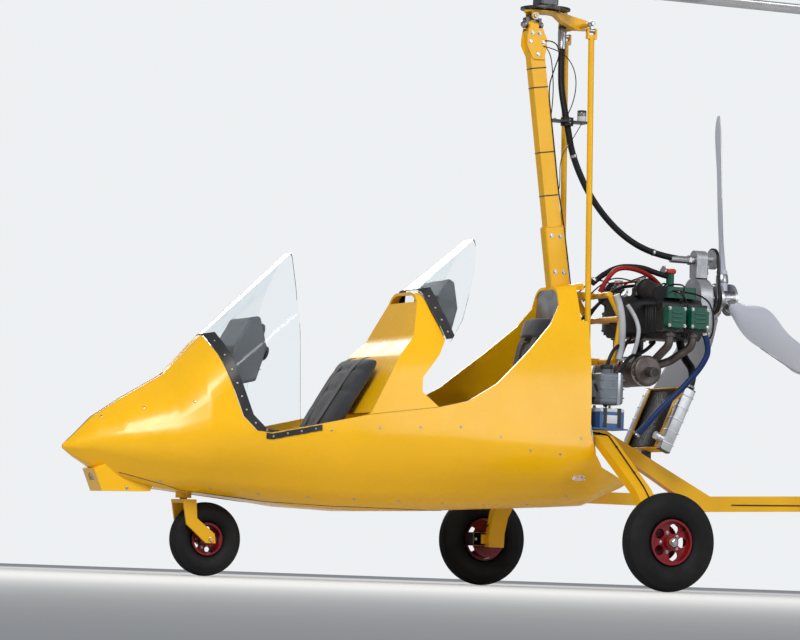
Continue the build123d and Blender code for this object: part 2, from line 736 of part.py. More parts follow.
main_radius = main_tyre_diameter / 2
disc_inner, disc_outer = 62.0, 68.0
half_track = track / 2
foot_outer, foot_inner = half_track - 112, half_track - 148
foot_bottom = main_radius - 34
leg_profile = [
    (28, 662), (285, 634), (half_track - 238, 416), (half_track - 138, 320), (foot_outer, main_radius + 32),
    (foot_outer, foot_bottom), (foot_inner, foot_bottom), (foot_inner, main_radius + 26),
    (half_track - 172, 294), (half_track - 258, 384), (270, 596), (28, 624),
]
leg_side = [
    (main_axle_x + x, z)
    for x, z in ((-48, 700), (32, 700), (44, 398), (36, foot_bottom - 6), (-36, foot_bottom - 6), (-32, 398))
]
for side_name, side in (("left", -1), ("right", 1)):
    wheel_y = side * half_track
    main_tyre = tyre(main_axle_x, wheel_y, main_tyre_diameter, main_tyre_width, main_rim_diameter)
    save(main_tyre, f"main_tyre_{side_name}")
    main_rim = rim(
        main_axle_x, wheel_y, main_radius, main_rim_diameter, main_tyre_width, -72, 38,
        main_axle_diameter + 2 * running_clearance, side, 5,
    )
    brake_disc = ring_profile(-disc_inner * side, -disc_outer * side, 20, 78)
    with main_rim:
        add(turned(brake_disc, main_axle_x, wheel_y, main_radius))
    save(main_rim, f"main_rim_{side_name}")
    with BuildPart() as gear_leg:
        with BuildSketch(Plane.YZ):
            with BuildLine():
                Polyline(*((side * y, z) for y, z in leg_profile), close=True)
            make_face()
        extrude(amount=400)
        add(side_prism(leg_side, 1000), mode=Mode.INTERSECT)
        axle_middle = (main_axle_x, side * (half_track - 35), main_radius)
        add(centred_cylinder(axle_middle, (0, 1, 0), main_axle_diameter, 160))
        add(centred_cylinder((main_axle_x, side * (half_track + 43.5), main_radius), (0, 1, 0), 32, 8))
        # The caliper straddles the disc ahead of the axle.
        with Locations((main_axle_x - 67.5, side * (half_track - 82), main_radius)):
            Box(55, 66, 56)
        with Locations((main_axle_x - 44, side * (half_track - 116), main_radius)):
            Box(32, 16, 40)
        with Locations((main_axle_x - 59, side * (half_track - 65), main_radius)):
            Box(48, 18, 80, mode=Mode.SUBTRACT)
    save(gear_leg, f"gear_leg_{side_name}")

nose_radius = nose_tyre_diameter / 2
save(tyre(nose_axle_x, 0, nose_tyre_diameter, nose_tyre_width, nose_rim_diameter), "nose_tyre")
nose_rim = rim(
    nose_axle_x, 0, nose_radius, nose_rim_diameter, nose_tyre_width, -50, 50,
    nose_axle_diameter + 2 * running_clearance, 1, 5,
)
save(nose_rim, "nose_rim")
fork_profile = [
    (steering_x - 26, fork_crown_top), (steering_x + 30, fork_crown_top), (steering_x + 36, nose_radius + 81),
    (nose_axle_x + 14, nose_radius + 22), (nose_axle_x + 20, nose_radius - 16),
    (nose_axle_x - 22, nose_radius - 16), (steering_x - 8, nose_radius + 56),
]
with BuildPart() as nose_fork:
    add(side_prism(fork_profile, 68))
    with Locations((nose_axle_x - 40, 0, fork_crown_bottom - 150)):
        Box(360, 2 * 56, 300, mode=Mode.SUBTRACT)
    add(centred_cylinder((steering_x, 0, fork_crown_top + 23), (0, 0, 1), steerer_diameter, 52))
    add(centred_cylinder((nose_axle_x, 0, nose_radius), (0, 1, 0), nose_axle_diameter, 152))
save(nose_fork, "nose_fork")

# Engine: crankcase with four finned cylinders in two opposed banks
crankcase_half = 95.0
crankcase_height = 176.0
crankcase_top = crank_z + crankcase_height / 2
cylinder_xs = (crankcase_front + 132, crankcase_front + 241)
cylinder_z = crank_z - 5
head_inner, head_outer = 205.0, 262.0
fin_count = 5
with BuildPart() as engine_block:
    with BuildSketch(Plane.YZ.offset(crankcase_front)):
        with Locations((0, crank_z)):
            RectangleRounded(2 * crankcase_half, crankcase_height, 34)
    extrude(amount=crankcase_rear - crankcase_front)
    for x in cylinder_xs:
        add(centred_cylinder((x, 0, cylinder_z), (0, 1, 0), 94, 2 * head_inner + 4))
        for side in (-1, 1):
            with Locations((x, side * (head_inner + head_outer) / 2, cylinder_z)):
                Box(104, head_outer - head_inner, 116)
            for i in range(fin_count):
                with Locations((x, side * (crankcase_half + 14 + i * 20), cylinder_z)):
                    Box(106, 4, 118)
save(engine_block, "engine_block")
with BuildPart() as rocker_covers:
    for x in cylinder_xs:
        for side in (-1, 1):
            with BuildSketch(Plane.XZ.offset(-side * head_outer)):
                with Locations((x, cylinder_z)):
                    RectangleRounded(94, 98, 22)
            extrude(amount=-side * 36, taper=9)
save(rocker_covers, "rocker_covers")
box_y = -62.0
box_height = 48.0
neck_x, neck_diameter, neck_height = 600.0, 34.0, 60.0
with BuildPart() as ignition_box:
    with Locations((632, box_y, crankcase_top + box_height / 2)):
        Box(150, 92, box_height)
    fillet(ignition_box.edges().filter_by(Axis.Z), 12)
    with Locations((neck_x, box_y, crankcase_top + box_height + neck_height / 2)):
        Cylinder(neck_diameter / 2, neck_height)
save(ignition_box, "ignition_box")

shaft_diameter = 36.0
with BuildPart() as gearbox:
    with BuildSketch(Plane.YZ.offset(crankcase_rear)):
        with Locations((0, propeller_axis_z)):
            Circle(84)
        with Locations((0, crank_z)):
            Circle(78)
        make_hull()
    extrude(amount=gearbox_rear - crankcase_rear)
    fillet(gearbox.faces().sort_by(Axis.X)[-1].edges(), 10)
    add(centred_cylinder((gearbox_rear + 6, 0, propeller_axis_z), (1, 0, 0), 92, 14))
    add(
        centred_cylinder(
            (gearbox_rear, 0, propeller_axis_z), (1, 0, 0), shaft_diameter + 2 * running_clearance, 80
        ),
        mode=Mode.SUBTRACT,
    )
save(gearbox, "gearbox")

# Propeller: hub with the starter pulley, and three blades clamped between its plates
pulley_diameter = 120.0
hub_plate_gap = 54.0
blade_root_diameter = 46.0


def about_propeller(profile):
    """A piece of (x, radius) points turned round the propeller shaft."""
    with BuildPart() as piece:
        with BuildSketch(Plane(origin=(0, 0, propeller_axis_z), x_dir=(1, 0, 0), z_dir=(0, -1, 0))):
            with BuildLine():
                Polyline(*profile, close=True)
            make_face()
        revolve(axis=Axis((0, 0, propeller_axis_z), (1, 0, 0)))
    return piece.part


half_gap = hub_plate_gap / 2
spinner_circle, spinner_hole = 100.0, 6.6
with BuildPart() as propeller_hub:
    add(about_propeller([
        (gearbox_rear - 30, 0), (gearbox_rear - 30, shaft_diameter / 2), (pulley_x - 9, shaft_diameter / 2),
        (pulley_x - 9, pulley_diameter / 2), (pulley_x - 5, pulley_diameter / 2 - 5),
        (pulley_x + 5, pulley_diameter / 2 - 5), (pulley_x + 9, pulley_diameter / 2), (pulley_x + 9, 44),
        (propeller_x - half_gap - 12, 44), (propeller_x - half_gap - 12, 68),
        (propeller_x - half_gap, 68), (propeller_x - half_gap, 34), (propeller_x + half_gap, 34),
        (propeller_x + half_gap, 68), (propeller_x + half_gap + 12, 68), (propeller_x + half_gap + 12, 0),
    ]))
    with BuildSketch(Plane.YZ.offset(propeller_x + half_gap + 12)):
        with Locations((0, propeller_axis_z)):
            with PolarLocations(52, 6):
                RegularPolygon(7, 6)
    extrude(amount=6)
    # Threaded holes for a spinner's back plate
    with BuildSketch(Plane.YZ.offset(propeller_x + half_gap)):
        with Locations((0, propeller_axis_z)):
            with PolarLocations(spinner_circle / 2, 6, start_angle=30):
                Circle(spinner_hole / 2)
    extrude(amount=12, mode=Mode.SUBTRACT)
save(propeller_hub, "propeller_hub")

# radius, chord, thickness, pitch angle at the stations of a blade
BladeStation = namedtuple("BladeStation", "radius chord thickness pitch")
blade_stations = [
    BladeStation(110, 60, 36, 34), BladeStation(230, 124, 22, 30),
    BladeStation(0.5375 * propeller_radius, 138, 16, 22), BladeStation(0.8 * propeller_radius, 112, 11, 17),
    BladeStation(propeller_radius - 25, 74, 7, 14), BladeStation(propeller_radius, 34, 5, 13),
]


def blade_section(station):
    s = station
    turn = radians(s.pitch)
    plane = Plane(
        origin=(propeller_x, 0, propeller_axis_z + s.radius),
        x_dir=(sin(turn), cos(turn), 0), z_dir=(0, 0, 1),
    )
    with BuildSketch(plane) as section:
        with BuildLine():
            upper = ThreePointArc((-s.chord * 0.4, 0), (0, s.thickness / 2), (s.chord * 0.6, 0))
            ThreePointArc(upper @ 1, (0, -s.thickness / 2), upper @ 0)
        make_face()
    return section.sketch


blade_sections = [blade_section(s) for s in blade_stations]
with BuildPart() as one_blade:
    loft(blade_sections)
    with BuildSketch(Plane.XY.offset(propeller_axis_z + 34.3)):
        with Locations((propeller_x, 0)):
            Circle(blade_root_diameter / 2)
    extrude(amount=90)
first_blade_angle = -6.0
shaft_axis = Axis((0, 0, propeller_axis_z), (1, 0, 0))
with BuildPart() as propeller_blades:
    for i in range(3):
        add(one_blade.part.rotate(shaft_axis, first_blade_angle + 120 * i))
save(propeller_blades, "propeller_blades")

# Drive for the rotor starter: box on the gearbox, upper pulley and belt
drive_z = propeller_axis_z + 168
upper_pulley_diameter = 84.0
belt_thickness, belt_width, belt_gap = 6.0, 10.0, 6.0
gearbox_top = propeller_axis_z + 84
with BuildPart() as prerotator_drive:
    with BuildSketch(Plane.YZ.offset(crankcase_rear + 2)):
        with Locations((0, drive_z)):
            Circle(34)
        with Locations((0, gearbox_top + 2)):
            Rectangle(60, 20)
        make_hull()
    extrude(amount=56)
    fillet(prerotator_drive.faces().sort_by(Axis.X)[-1].edges(), 6)
    split(bisect_by=Plane.XY.offset(gearbox_top + 0.3), keep=Keep.TOP)
    add(centred_cylinder((gearbox_rear + 9, 0, drive_z), (1, 0, 0), 24, 50))
    add(centred_cylinder((pulley_x, 0, drive_z), (1, 0, 0), upper_pulley_diameter, 18))
with BuildPart() as belt:
    for grow, mode in ((belt_thickness, Mode.ADD), (0, Mode.SUBTRACT)):
        with BuildSketch(Plane.YZ.offset(pulley_x - belt_width / 2)):
            with Locations((0, drive_z)):
                Circle(upper_pulley_diameter / 2 + grow)
            with Locations((0, propeller_axis_z)):
                Circle(pulley_diameter / 2 + belt_gap + grow)
            make_hull()
        extrude(amount=belt_width, mode=mode)
with prerotator_drive:
    add(belt.part)
save(prerotator_drive, "prerotator_drive")

# Engine mount: stays from the mast to cross tubes and the bent side tubes
mount_half = 150.0
mount_tube = 26.0
upper_mount, side_bend, lower_mount = (268, crank_z + 80), (326, crank_z - 17), (301, crank_z - 196)
stay_height = 28.0
with BuildPart() as engine_mount:
    for x, z in (upper_mount, side_bend, lower_mount):
        add(centred_cylinder((x, 0, z), (0, 1, 0), mount_tube, 2 * mount_half))
    for side in (-1, 1):
        y = side * mount_half
        add(tube_path([(x, y, z) for x, z in (upper_mount, side_bend, lower_mount)], mount_tube, 40))
        with Locations(((side_bend[0] + crankcase_front) / 2, side * 70, side_bend[1])):
            Box(crankcase_front - side_bend[0], 24, 24)
    for x, z in (upper_mount, lower_mount):
        face_x = mast_x(z - stay_height / 2) + mast_depth / 2 / cos(mast_tilt) + 0.3
        with Locations(((face_x + x) / 2, 0, z)):
            Box(x - face_x, 34, stay_height)
save(engine_mount, "engine_mount")

# Air filters: a cone on each carburettor above the front cylinders
with BuildPart() as air_filters:
    for side in (-1, 1):
        axis = (0.1, side * 0.97, -0.2)
        add(centred_cylinder((440, side * 112, crankcase_top + 33), axis, 44, 60))
        with BuildSketch(Plane(origin=(442, side * 138, crankcase_top + 28), z_dir=axis)):
            Circle(40)
        extrude(amount=112, taper=6)
        with Locations((442, side * 78, crankcase_top + 17.3)):
            Box(34, 54, 34)
save(air_filters, "air_filters")

# Exhaust: a pipe from each head down to the transverse silencer
silencer_x, silencer_z = 416.0, 917.0
silencer_diameter = 128.0
exhaust_pipe = 35.0
port_z = cylinder_z - 58
with BuildPart() as exhaust:
    add(centred_cylinder((silencer_x, -40, silencer_z), (0, 1, 0), silencer_diameter, 400))
    fillet(exhaust.faces().filter_by(Axis.Y).edges(), 14)
    for side in (-1, 1):
        y = side * 233
        front = [
            (cylinder_xs[0], y, port_z), (cylinder_xs[0], y, 1030),
            (470, side * 130 - 20, silencer_z + 30),
        ]
        rear = [
            (cylinder_xs[1], y, port_z), (cylinder_xs[1], y, 1030), (560, side * 160, 968),
            (450, side * 110 - 20, silencer_z + 8),
        ]
        add(tube_path(front, exhaust_pipe, 42))
        add(tube_path(rear, exhaust_pipe, 42))
    add(tube_path([(silencer_x, -200, silencer_z), (silencer_x, -292, silencer_z - 10)], 42, 0))
save(exhaust, "exhaust")

# Radiator leans on the boom strut between two tanks
radiator_top, radiator_bottom = (650, 848), (540, 596)
radiator_half = 175.0
lean = atan2(radiator_top[0] - radiator_bottom[0], radiator_top[1] - radiator_bottom[1])
radiator_middle = Vector(*radiator_top) + Vector(*radiator_bottom)
radiator_plane = Plane(
    origin=(radiator_middle.X / 2, 0, radiator_middle.Y / 2),
    x_dir=(0, 1, 0), z_dir=(cos(lean), 0, -sin(lean)),
)
radiator_length = hypot(radiator_top[0] - radiator_bottom[0], radiator_top[1] - radiator_bottom[1])
with BuildPart() as radiator:
    with BuildSketch(radiator_plane):
        Rectangle(2 * radiator_half, radiator_length)
    extrude(amount=17, both=True)
    with BuildSketch(radiator_plane):
        for side in (-1, 1):
            with Locations((side * (radiator_half - 14), 0)):
                Rectangle(34, radiator_length + 16)
    extrude(amount=25, both=True)
    add(side_prism([(535, 567.4), (555, 557.2), (555, 592), (535, 592)], keel_width / 2))
save(radiator, "radiator")

# Hoses: crankcase to radiator, along the engine mount, and mast to the neck on the ignition box
crankcase_bottom = crank_z - crankcase_height / 2
hose_y = -mount_half - mount_tube / 2 - 15.4
Hose = namedtuple("Hose", "route diameter bend")
hoses = [
    Hose(
        [
            (668, -40, crankcase_bottom - 0.3), (668, -40, 1005), (683.4, -161, 944.4),
            (683.4, -161, 924.4), (653.6, -161, 856.2),
        ],
        34, 26,
    ),
    Hose([(285, hose_y, 1230), (340, hose_y, 1119), (305, hose_y, 960)], 30, 70),
    Hose(
        [
            (214, -92, 1276), (300, -90, 1352), (440, -90, 1362), (510, box_y, 1332),
            (neck_x - neck_diameter / 2 - 0.3, box_y, 1332),
        ],
        24, 40,
    ),
]
with BuildPart() as coolant_hoses:
    for hose in hoses:
        add(tube_path(hose.route, hose.diameter, hose.bend))
save(coolant_hoses, "coolant_hoses")

# Tank and battery on the tray behind the firewall, port side
tray_z = 662.0
tray_thickness = 6.0
tank_x, tank_y, tank_z = 234.0, -208.0, 832.0
tank_height = 130.0
battery_height = 76.0


def fire_face(z):
    """Just behind the firewall at height z."""
    return mast_x(z) - mast_depth / 2 / cos(mast_tilt) + 0.3


def wall_bracket(bottom, top, reach):
    """The side profile of a plate or block that stands out from the firewall as far as x = reach."""
    return [(fire_face(bottom), bottom), (fire_face(top), top), (reach, top), (reach, bottom)]


with BuildPart() as oil_tank:
    with Locations((tank_x, tank_y, tank_z)):
        Box(108, 122, tank_height)
    fillet(oil_tank.edges(), 14)
    with Locations((tank_x, tank_y, tank_z + tank_height / 2 + 7)):
        Cylinder(22, 26)
    add(side_prism(wall_bracket(tank_z - 35, tank_z + 35, 190), 15).moved(Location((0, tank_y, 0))))
save(oil_tank, "oil_tank")
with BuildPart() as battery:
    add(side_prism(wall_bracket(tray_z, tray_z + tray_thickness, 307), 68).moved(Location((0, tank_y, 0))))
    with Locations((236, tank_y, tray_z + tray_thickness + battery_height / 2)):
        Box(112, 118, battery_height)
save(battery, "battery")

# Flex shaft from the drive box up the mast to the starter on the head
flex_route = [
    (crankcase_rear + 1.8, 0, drive_z - 9), (620, 0, drive_z - 9), (430, 0, 1468),
    (262, 0, 1612), (152, 0, 1800),
    (118, 0, 1957), (98, 20, 2086), (pinion_x, pinion_y, starter_bottom - 90),
    (pinion_x, pinion_y, starter_bottom - 0.3),
]
flex_diameter = 28.0
with BuildPart() as flex_shaft:
    with BuildLine() as flex_line:
        lengths = [Vector(b) - Vector(a) for a, b in zip(flex_route, flex_route[1:])]
        radii = [
            0.45 * min(a.length, b.length) / tan(radians(a.get_angle(b)) / 2)
            for a, b in zip(lengths, lengths[1:])
        ]
        FilletPolyline(*flex_route, radius=radii)
    with BuildSketch(Plane(origin=flex_route[0], z_dir=flex_line.line % 0)):
        Circle(flex_diameter / 2)
    sweep(path=flex_line.line)
save(flex_shaft, "flex_shaft")

# Bracket half way up the mast, with the clamp of the flex shaft and the strobe
bracket_z = 1957.0
bracket_front = mast_x(bracket_z - 4) + upper_mast_depth / 2 / cos(mast_tilt) + 0.3
with BuildPart() as mast_bracket:
    with Locations(((bracket_front + 210) / 2, 0, bracket_z)):
        Box(210 - bracket_front, 66, 8)
    with Locations((119, 0, bracket_z)):
        Cylinder(27, 34)
        Cylinder(flex_diameter / 2 + 6, 60, mode=Mode.SUBTRACT)
    with Locations((188, 0, bracket_z + 4 + 24)):
        Cylinder(19, 48)
save(mast_bracket, "mast_bracket")


# Tail: delta stabiliser on the boom, end plates, fin and rudder
def boom_top(x):
    return boom_top_at_bend + boom_slope * (x - boom_bend_x)


stabiliser_front_x, stabiliser_rear_x = rudder_hinge_x - 660, boom_end_x
plate_thickness_tail = 18.0
tail_plane = Plane(
    origin=(0, 0, boom_top(0)), x_dir=(1, 0, boom_slope), z_dir=(-boom_slope, 0, 1)
)
end_plate = [
    (rudder_hinge_x + x, z)
    for x, z in ((60, 402), (-4, 476), (136, 982), (372, 984), (502, 438), (486, 404))
]
planform = [
    (stabiliser_front_x, -28), (rudder_hinge_x - 4, -stabiliser_half_span),
    (stabiliser_rear_x, -stabiliser_half_span), (stabiliser_rear_x - 60, -28),
    (stabiliser_rear_x - 60, 28), (stabiliser_rear_x, stabiliser_half_span),
    (rudder_hinge_x - 4, stabiliser_half_span),
    (stabiliser_front_x, 28),
]
with BuildPart() as stabiliser:
    with BuildSketch(tail_plane):
        with BuildLine():
            Polyline(*planform, close=True)
        make_face()
    extrude(amount=tail_plane_thickness)
    for side in (-1, 1):
        with BuildSketch(Plane.XZ.offset(-side * stabiliser_half_span)):
            with BuildLine():
                FilletPolyline(*end_plate, radius=26, close=True)
            make_face()
        extrude(amount=plate_thickness_tail / 2, both=True)
save(stabiliser, "stabiliser")

fin_top = 1300.0
hinge_gap = 6.0
fin_half = 17.0
fin_outline = [
    (stabiliser_front_x + 6, boom_top(stabiliser_front_x) + tail_plane_thickness + 1),
    (stabiliser_front_x + 8, 600), (rudder_hinge_x - 480, 985), (rudder_hinge_x - 420, 968),
    (rudder_hinge_x - 372, 985), (rudder_hinge_x - 304, fin_top), (rudder_hinge_x, fin_top),
    (rudder_hinge_x, boom_top(rudder_hinge_x) + tail_plane_thickness + 1),
]
fin_plan = [
    (stabiliser_front_x - 10, -3), (rudder_hinge_x - 350, -fin_half), (rudder_hinge_x - 10, -fin_half),
    (rudder_hinge_x - 10, fin_half), (rudder_hinge_x - 350, fin_half), (stabiliser_front_x - 10, 3),
]
hinge_heights = (620, 1180)
with BuildPart() as fin:
    with BuildSketch():
        with BuildLine():
            Polyline(*fin_plan, close=True)
        make_face()
        with Locations((rudder_hinge_x, 0)):
            Circle(fin_half + hinge_gap, mode=Mode.SUBTRACT)
    extrude(amount=1600)
    add(side_prism(fin_outline, 60), mode=Mode.INTERSECT)
    for z in hinge_heights:
        with Locations((rudder_hinge_x - 8, 0, z)):
            Box(44, 20, 14)
        with Locations((rudder_hinge_x, 0, z)):
            Cylinder(13, 14)
            Cylinder(5 + running_clearance, 40, mode=Mode.SUBTRACT)
save(fin, "fin")
rudder_tail_x = rudder_hinge_x + 380
rudder_outline = [
    (rudder_hinge_x - 30, boom_top(rudder_hinge_x) + 40), (rudder_hinge_x - 30, fin_top),
    (rudder_tail_x - 198, fin_top), (rudder_tail_x - 6, boom_top(rudder_tail_x) + 40),
]
with BuildPart() as rudder:
    with BuildSketch():
        with Locations((rudder_hinge_x, 0)):
            Circle(fin_half)
        with Locations((rudder_tail_x, 0)):
            Circle(2.5)
        make_hull()
    extrude(amount=1600)
    add(side_prism(rudder_outline, 60), mode=Mode.INTERSECT)
    for z in hinge_heights:
        with Locations((rudder_hinge_x - 8, 0, z)):
            Box(60, 60, 26, mode=Mode.SUBTRACT)
        with Locations((rudder_hinge_x, 0, z)):
            Cylinder(5, 40)
save(rudder, "rudder")

# Position lights on the stern flanks
with BuildPart() as position_lights:
    for side in (-1, 1):
        with BuildSketch(Plane.XZ.offset(-side * 220)):
            with Locations((78, 456)):
                Ellipse(24, 13)
        extrude(amount=-side * 86)
    add(body_solid(hull_stations[10:12], -0.3), mode=Mode.SUBTRACT)
save(position_lights, "position_lights")
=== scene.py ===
"""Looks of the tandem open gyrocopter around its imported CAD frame, in metres."""

import math
import random

import bmesh
import bpy
from mathutils import Matrix, Vector


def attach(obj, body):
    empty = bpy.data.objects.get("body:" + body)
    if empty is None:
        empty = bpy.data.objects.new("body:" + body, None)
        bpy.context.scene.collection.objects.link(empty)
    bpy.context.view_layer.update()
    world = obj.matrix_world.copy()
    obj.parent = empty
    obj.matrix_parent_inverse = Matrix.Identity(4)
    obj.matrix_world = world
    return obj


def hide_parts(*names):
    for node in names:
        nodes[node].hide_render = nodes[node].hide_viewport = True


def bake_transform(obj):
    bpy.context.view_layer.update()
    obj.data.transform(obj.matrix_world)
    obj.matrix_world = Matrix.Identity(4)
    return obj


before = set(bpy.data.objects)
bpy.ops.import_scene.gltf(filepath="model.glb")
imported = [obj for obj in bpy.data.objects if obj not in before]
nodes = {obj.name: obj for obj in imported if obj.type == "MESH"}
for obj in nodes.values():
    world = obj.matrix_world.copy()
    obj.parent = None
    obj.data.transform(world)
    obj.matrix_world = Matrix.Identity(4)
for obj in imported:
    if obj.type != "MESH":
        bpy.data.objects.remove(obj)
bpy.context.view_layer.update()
random.seed(7)

SIDES = ((-1, "left"), (1, "right"))
ORIGIN = Vector((0, 0, 0))
AFT = Vector((1, 0, 0))
FORE = Vector((-1, 0, 0))
UP = Vector((0, 0, 1))
DOWN = Vector((0, 0, -1))


# Materials

class Shader:
    """A Principled material whose colour, roughness and bump come from nodes in object space."""

    def __init__(self, name, **sockets):
        self.mat = bpy.data.materials.new(name)
        self.mat.use_nodes = True
        self.tree = self.mat.node_tree
        self.bsdf = self.tree.nodes["Principled BSDF"]
        for key, value in sockets.items():
            self.bsdf.inputs[key.replace("_", " ")].default_value = value
        self.coords = self.tree.nodes.new("ShaderNodeTexCoord")
        self.normal = None

    def node(self, kind, **values):
        made = self.tree.nodes.new(kind)
        for key, value in values.items():
            if hasattr(made, key):
                setattr(made, key, value)
            else:
                made.inputs[key].default_value = value
        return made

    def link(self, a, b):
        self.tree.links.new(a, b)

    def noise(self, scale, detail=4.0, stretch=(1, 1, 1)):
        mapping = self.node("ShaderNodeMapping", Scale=stretch)
        self.link(self.coords.outputs["Object"], mapping.inputs["Vector"])
        made = self.node("ShaderNodeTexNoise", Scale=scale, Detail=detail)
        self.link(mapping.outputs["Vector"], made.inputs["Vector"])
        return made.outputs["Fac"]

    def wave(self, bands, **values):
        made = self.node("ShaderNodeTexWave", bands_direction=bands, **values)
        self.link(self.coords.outputs["Object"], made.inputs["Vector"])
        return made.outputs["Fac"]

    def color(self, value, *stops):
        """A colour ramp over a value, into the base colour."""
        made = self.node("ShaderNodeValToRGB")
        elements = made.color_ramp.elements
        while len(elements) < len(stops):
            elements.new(0.5)
        for element, (position, color) in zip(elements, stops):
            element.position = position
            element.color = (*color, 1)
        self.link(value, made.inputs["Fac"])
        self.link(made.outputs["Color"], self.bsdf.inputs["Base Color"])

    def rough(self, value, low, high):
        """A value's middle range, spread from low to high, into the roughness."""
        made = self.node("ShaderNodeMapRange")
        for key, number in (("From Min", 0.3), ("From Max", 0.7), ("To Min", low), ("To Max", high)):
            made.inputs[key].default_value = number
        self.link(value, made.inputs["Value"])
        self.link(made.outputs["Result"], self.bsdf.inputs["Roughness"])

    def bump(self, height, strength, distance=0.001):
        made = self.node("ShaderNodeBump", Strength=strength, Distance=distance)
        self.link(height, made.inputs["Height"])
        if self.normal is not None:
            self.link(self.normal, made.inputs["Normal"])
        self.normal = made.outputs["Normal"]
        self.link(self.normal, self.bsdf.inputs["Normal"])


def tone(color, share):
    return tuple(min(1.0, c * share) for c in color)


def painted(name, color, low=0.2, high=0.34, coat=0.2, peel=0.05, dirt=0.9):
    """Gloss paint: faint tone change, orange peel and a thin film of dust."""
    shader = Shader(name, Coat_Weight=coat, Coat_Roughness=0.12, IOR=1.45, Specular_IOR_Level=0.35)
    shader.color(shader.noise(3.0, 5), (0.3, tone(color, dirt)), (0.62, color), (0.9, tone(color, 1.03)))
    shader.rough(shader.noise(9.0, 6), low, high)
    shader.bump(shader.noise(340.0, 2), peel, 0.0004)
    return shader.mat


def plastic(name, color, low=0.4, high=0.55, grain=900.0, strength=0.18):
    """Moulded plastic with a fine grained face."""
    shader = Shader(name)
    shader.color(shader.noise(11.0, 5), (0.3, tone(color, 0.85)), (0.7, tone(color, 1.12)))
    shader.rough(shader.noise(24.0, 4), low, high)
    shader.bump(shader.noise(grain, 3), strength, 0.0006)
    return shader.mat


def metal(name, color, low=0.22, high=0.38, stretch=(1, 1, 14), scale=60.0):
    """Bare metal with drawn or machined lines and slight staining."""
    shader = Shader(name, Metallic=1.0)
    shader.color(shader.noise(14.0, 6), (0.25, tone(color, 0.78)), (0.6, color))
    shader.rough(shader.noise(scale, 5, stretch), low, high)
    shader.bump(shader.noise(scale * 5, 3, stretch), 0.08, 0.0004)
    return shader.mat


def cast(name, color, metallic):
    """Sand or die cast metal: pitted, with darker patches of dirt."""
    shader = Shader(name, Metallic=metallic)
    grit = shader.noise(170.0, 6)
    shader.color(shader.noise(18.0, 7), (0.3, tone(color, 0.55)), (0.65, color))
    shader.rough(grit, 0.38, 0.62)
    shader.bump(grit, 0.35, 0.0012)
    return shader.mat


def rubber(name, color, low=0.35, high=0.5):
    """Rubber with a dry dusty bloom."""
    shader = Shader(name, Specular_IOR_Level=0.22)
    shader.color(shader.noise(7.0, 8), (0.35, color), (0.72, tone(color, 1.7)))
    shader.rough(shader.noise(15.0, 5), low, high)
    shader.bump(shader.noise(620.0, 4), 0.2, 0.0008)
    return shader.mat


def woven(name, color, pitch):
    """Cloth: two crossing yarn waves, with worn lighter places."""
    shader = Shader(name, Roughness=0.85, Sheen_Weight=0.35, Sheen_Roughness=0.5)
    scale = 1.0 / pitch / 6.283
    weave = shader.node("ShaderNodeMath", operation="MULTIPLY")
    for slot, bands in enumerate(("Y", "DIAGONAL")):
        shader.link(shader.wave(bands, Scale=scale, Distortion=0.4), weave.inputs[slot])
    shader.color(shader.noise(9.0, 6), (0.3, tone(color, 0.75)), (0.72, tone(color, 1.35)))
    shader.bump(weave.outputs["Value"], 0.45, 0.0008)
    shader.bump(shader.noise(40.0, 4), 0.15, 0.002)
    return shader.mat


def clear(name, tint):
    """Clear acrylic sheet with faint polishing haze."""
    shader = Shader(name, Transmission_Weight=1.0, IOR=1.2)
    shader.color(shader.noise(2.0, 3), (0.3, tint), (0.8, tone(tint, 1.02)))
    shader.rough(shader.noise(30.0, 6), 0.02, 0.05)
    return shader.mat


def lamp_glass(name, tint):
    """Lens with pressed ribs."""
    shader = Shader(name, Transmission_Weight=0.85, IOR=1.45)
    shader.color(shader.noise(30.0, 2), (0.3, tint), (0.8, tone(tint, 1.02)))
    shader.rough(shader.noise(60.0, 3), 0.03, 0.1)
    shader.bump(shader.wave("Y", Scale=42.0), 0.35, 0.001)
    return shader.mat


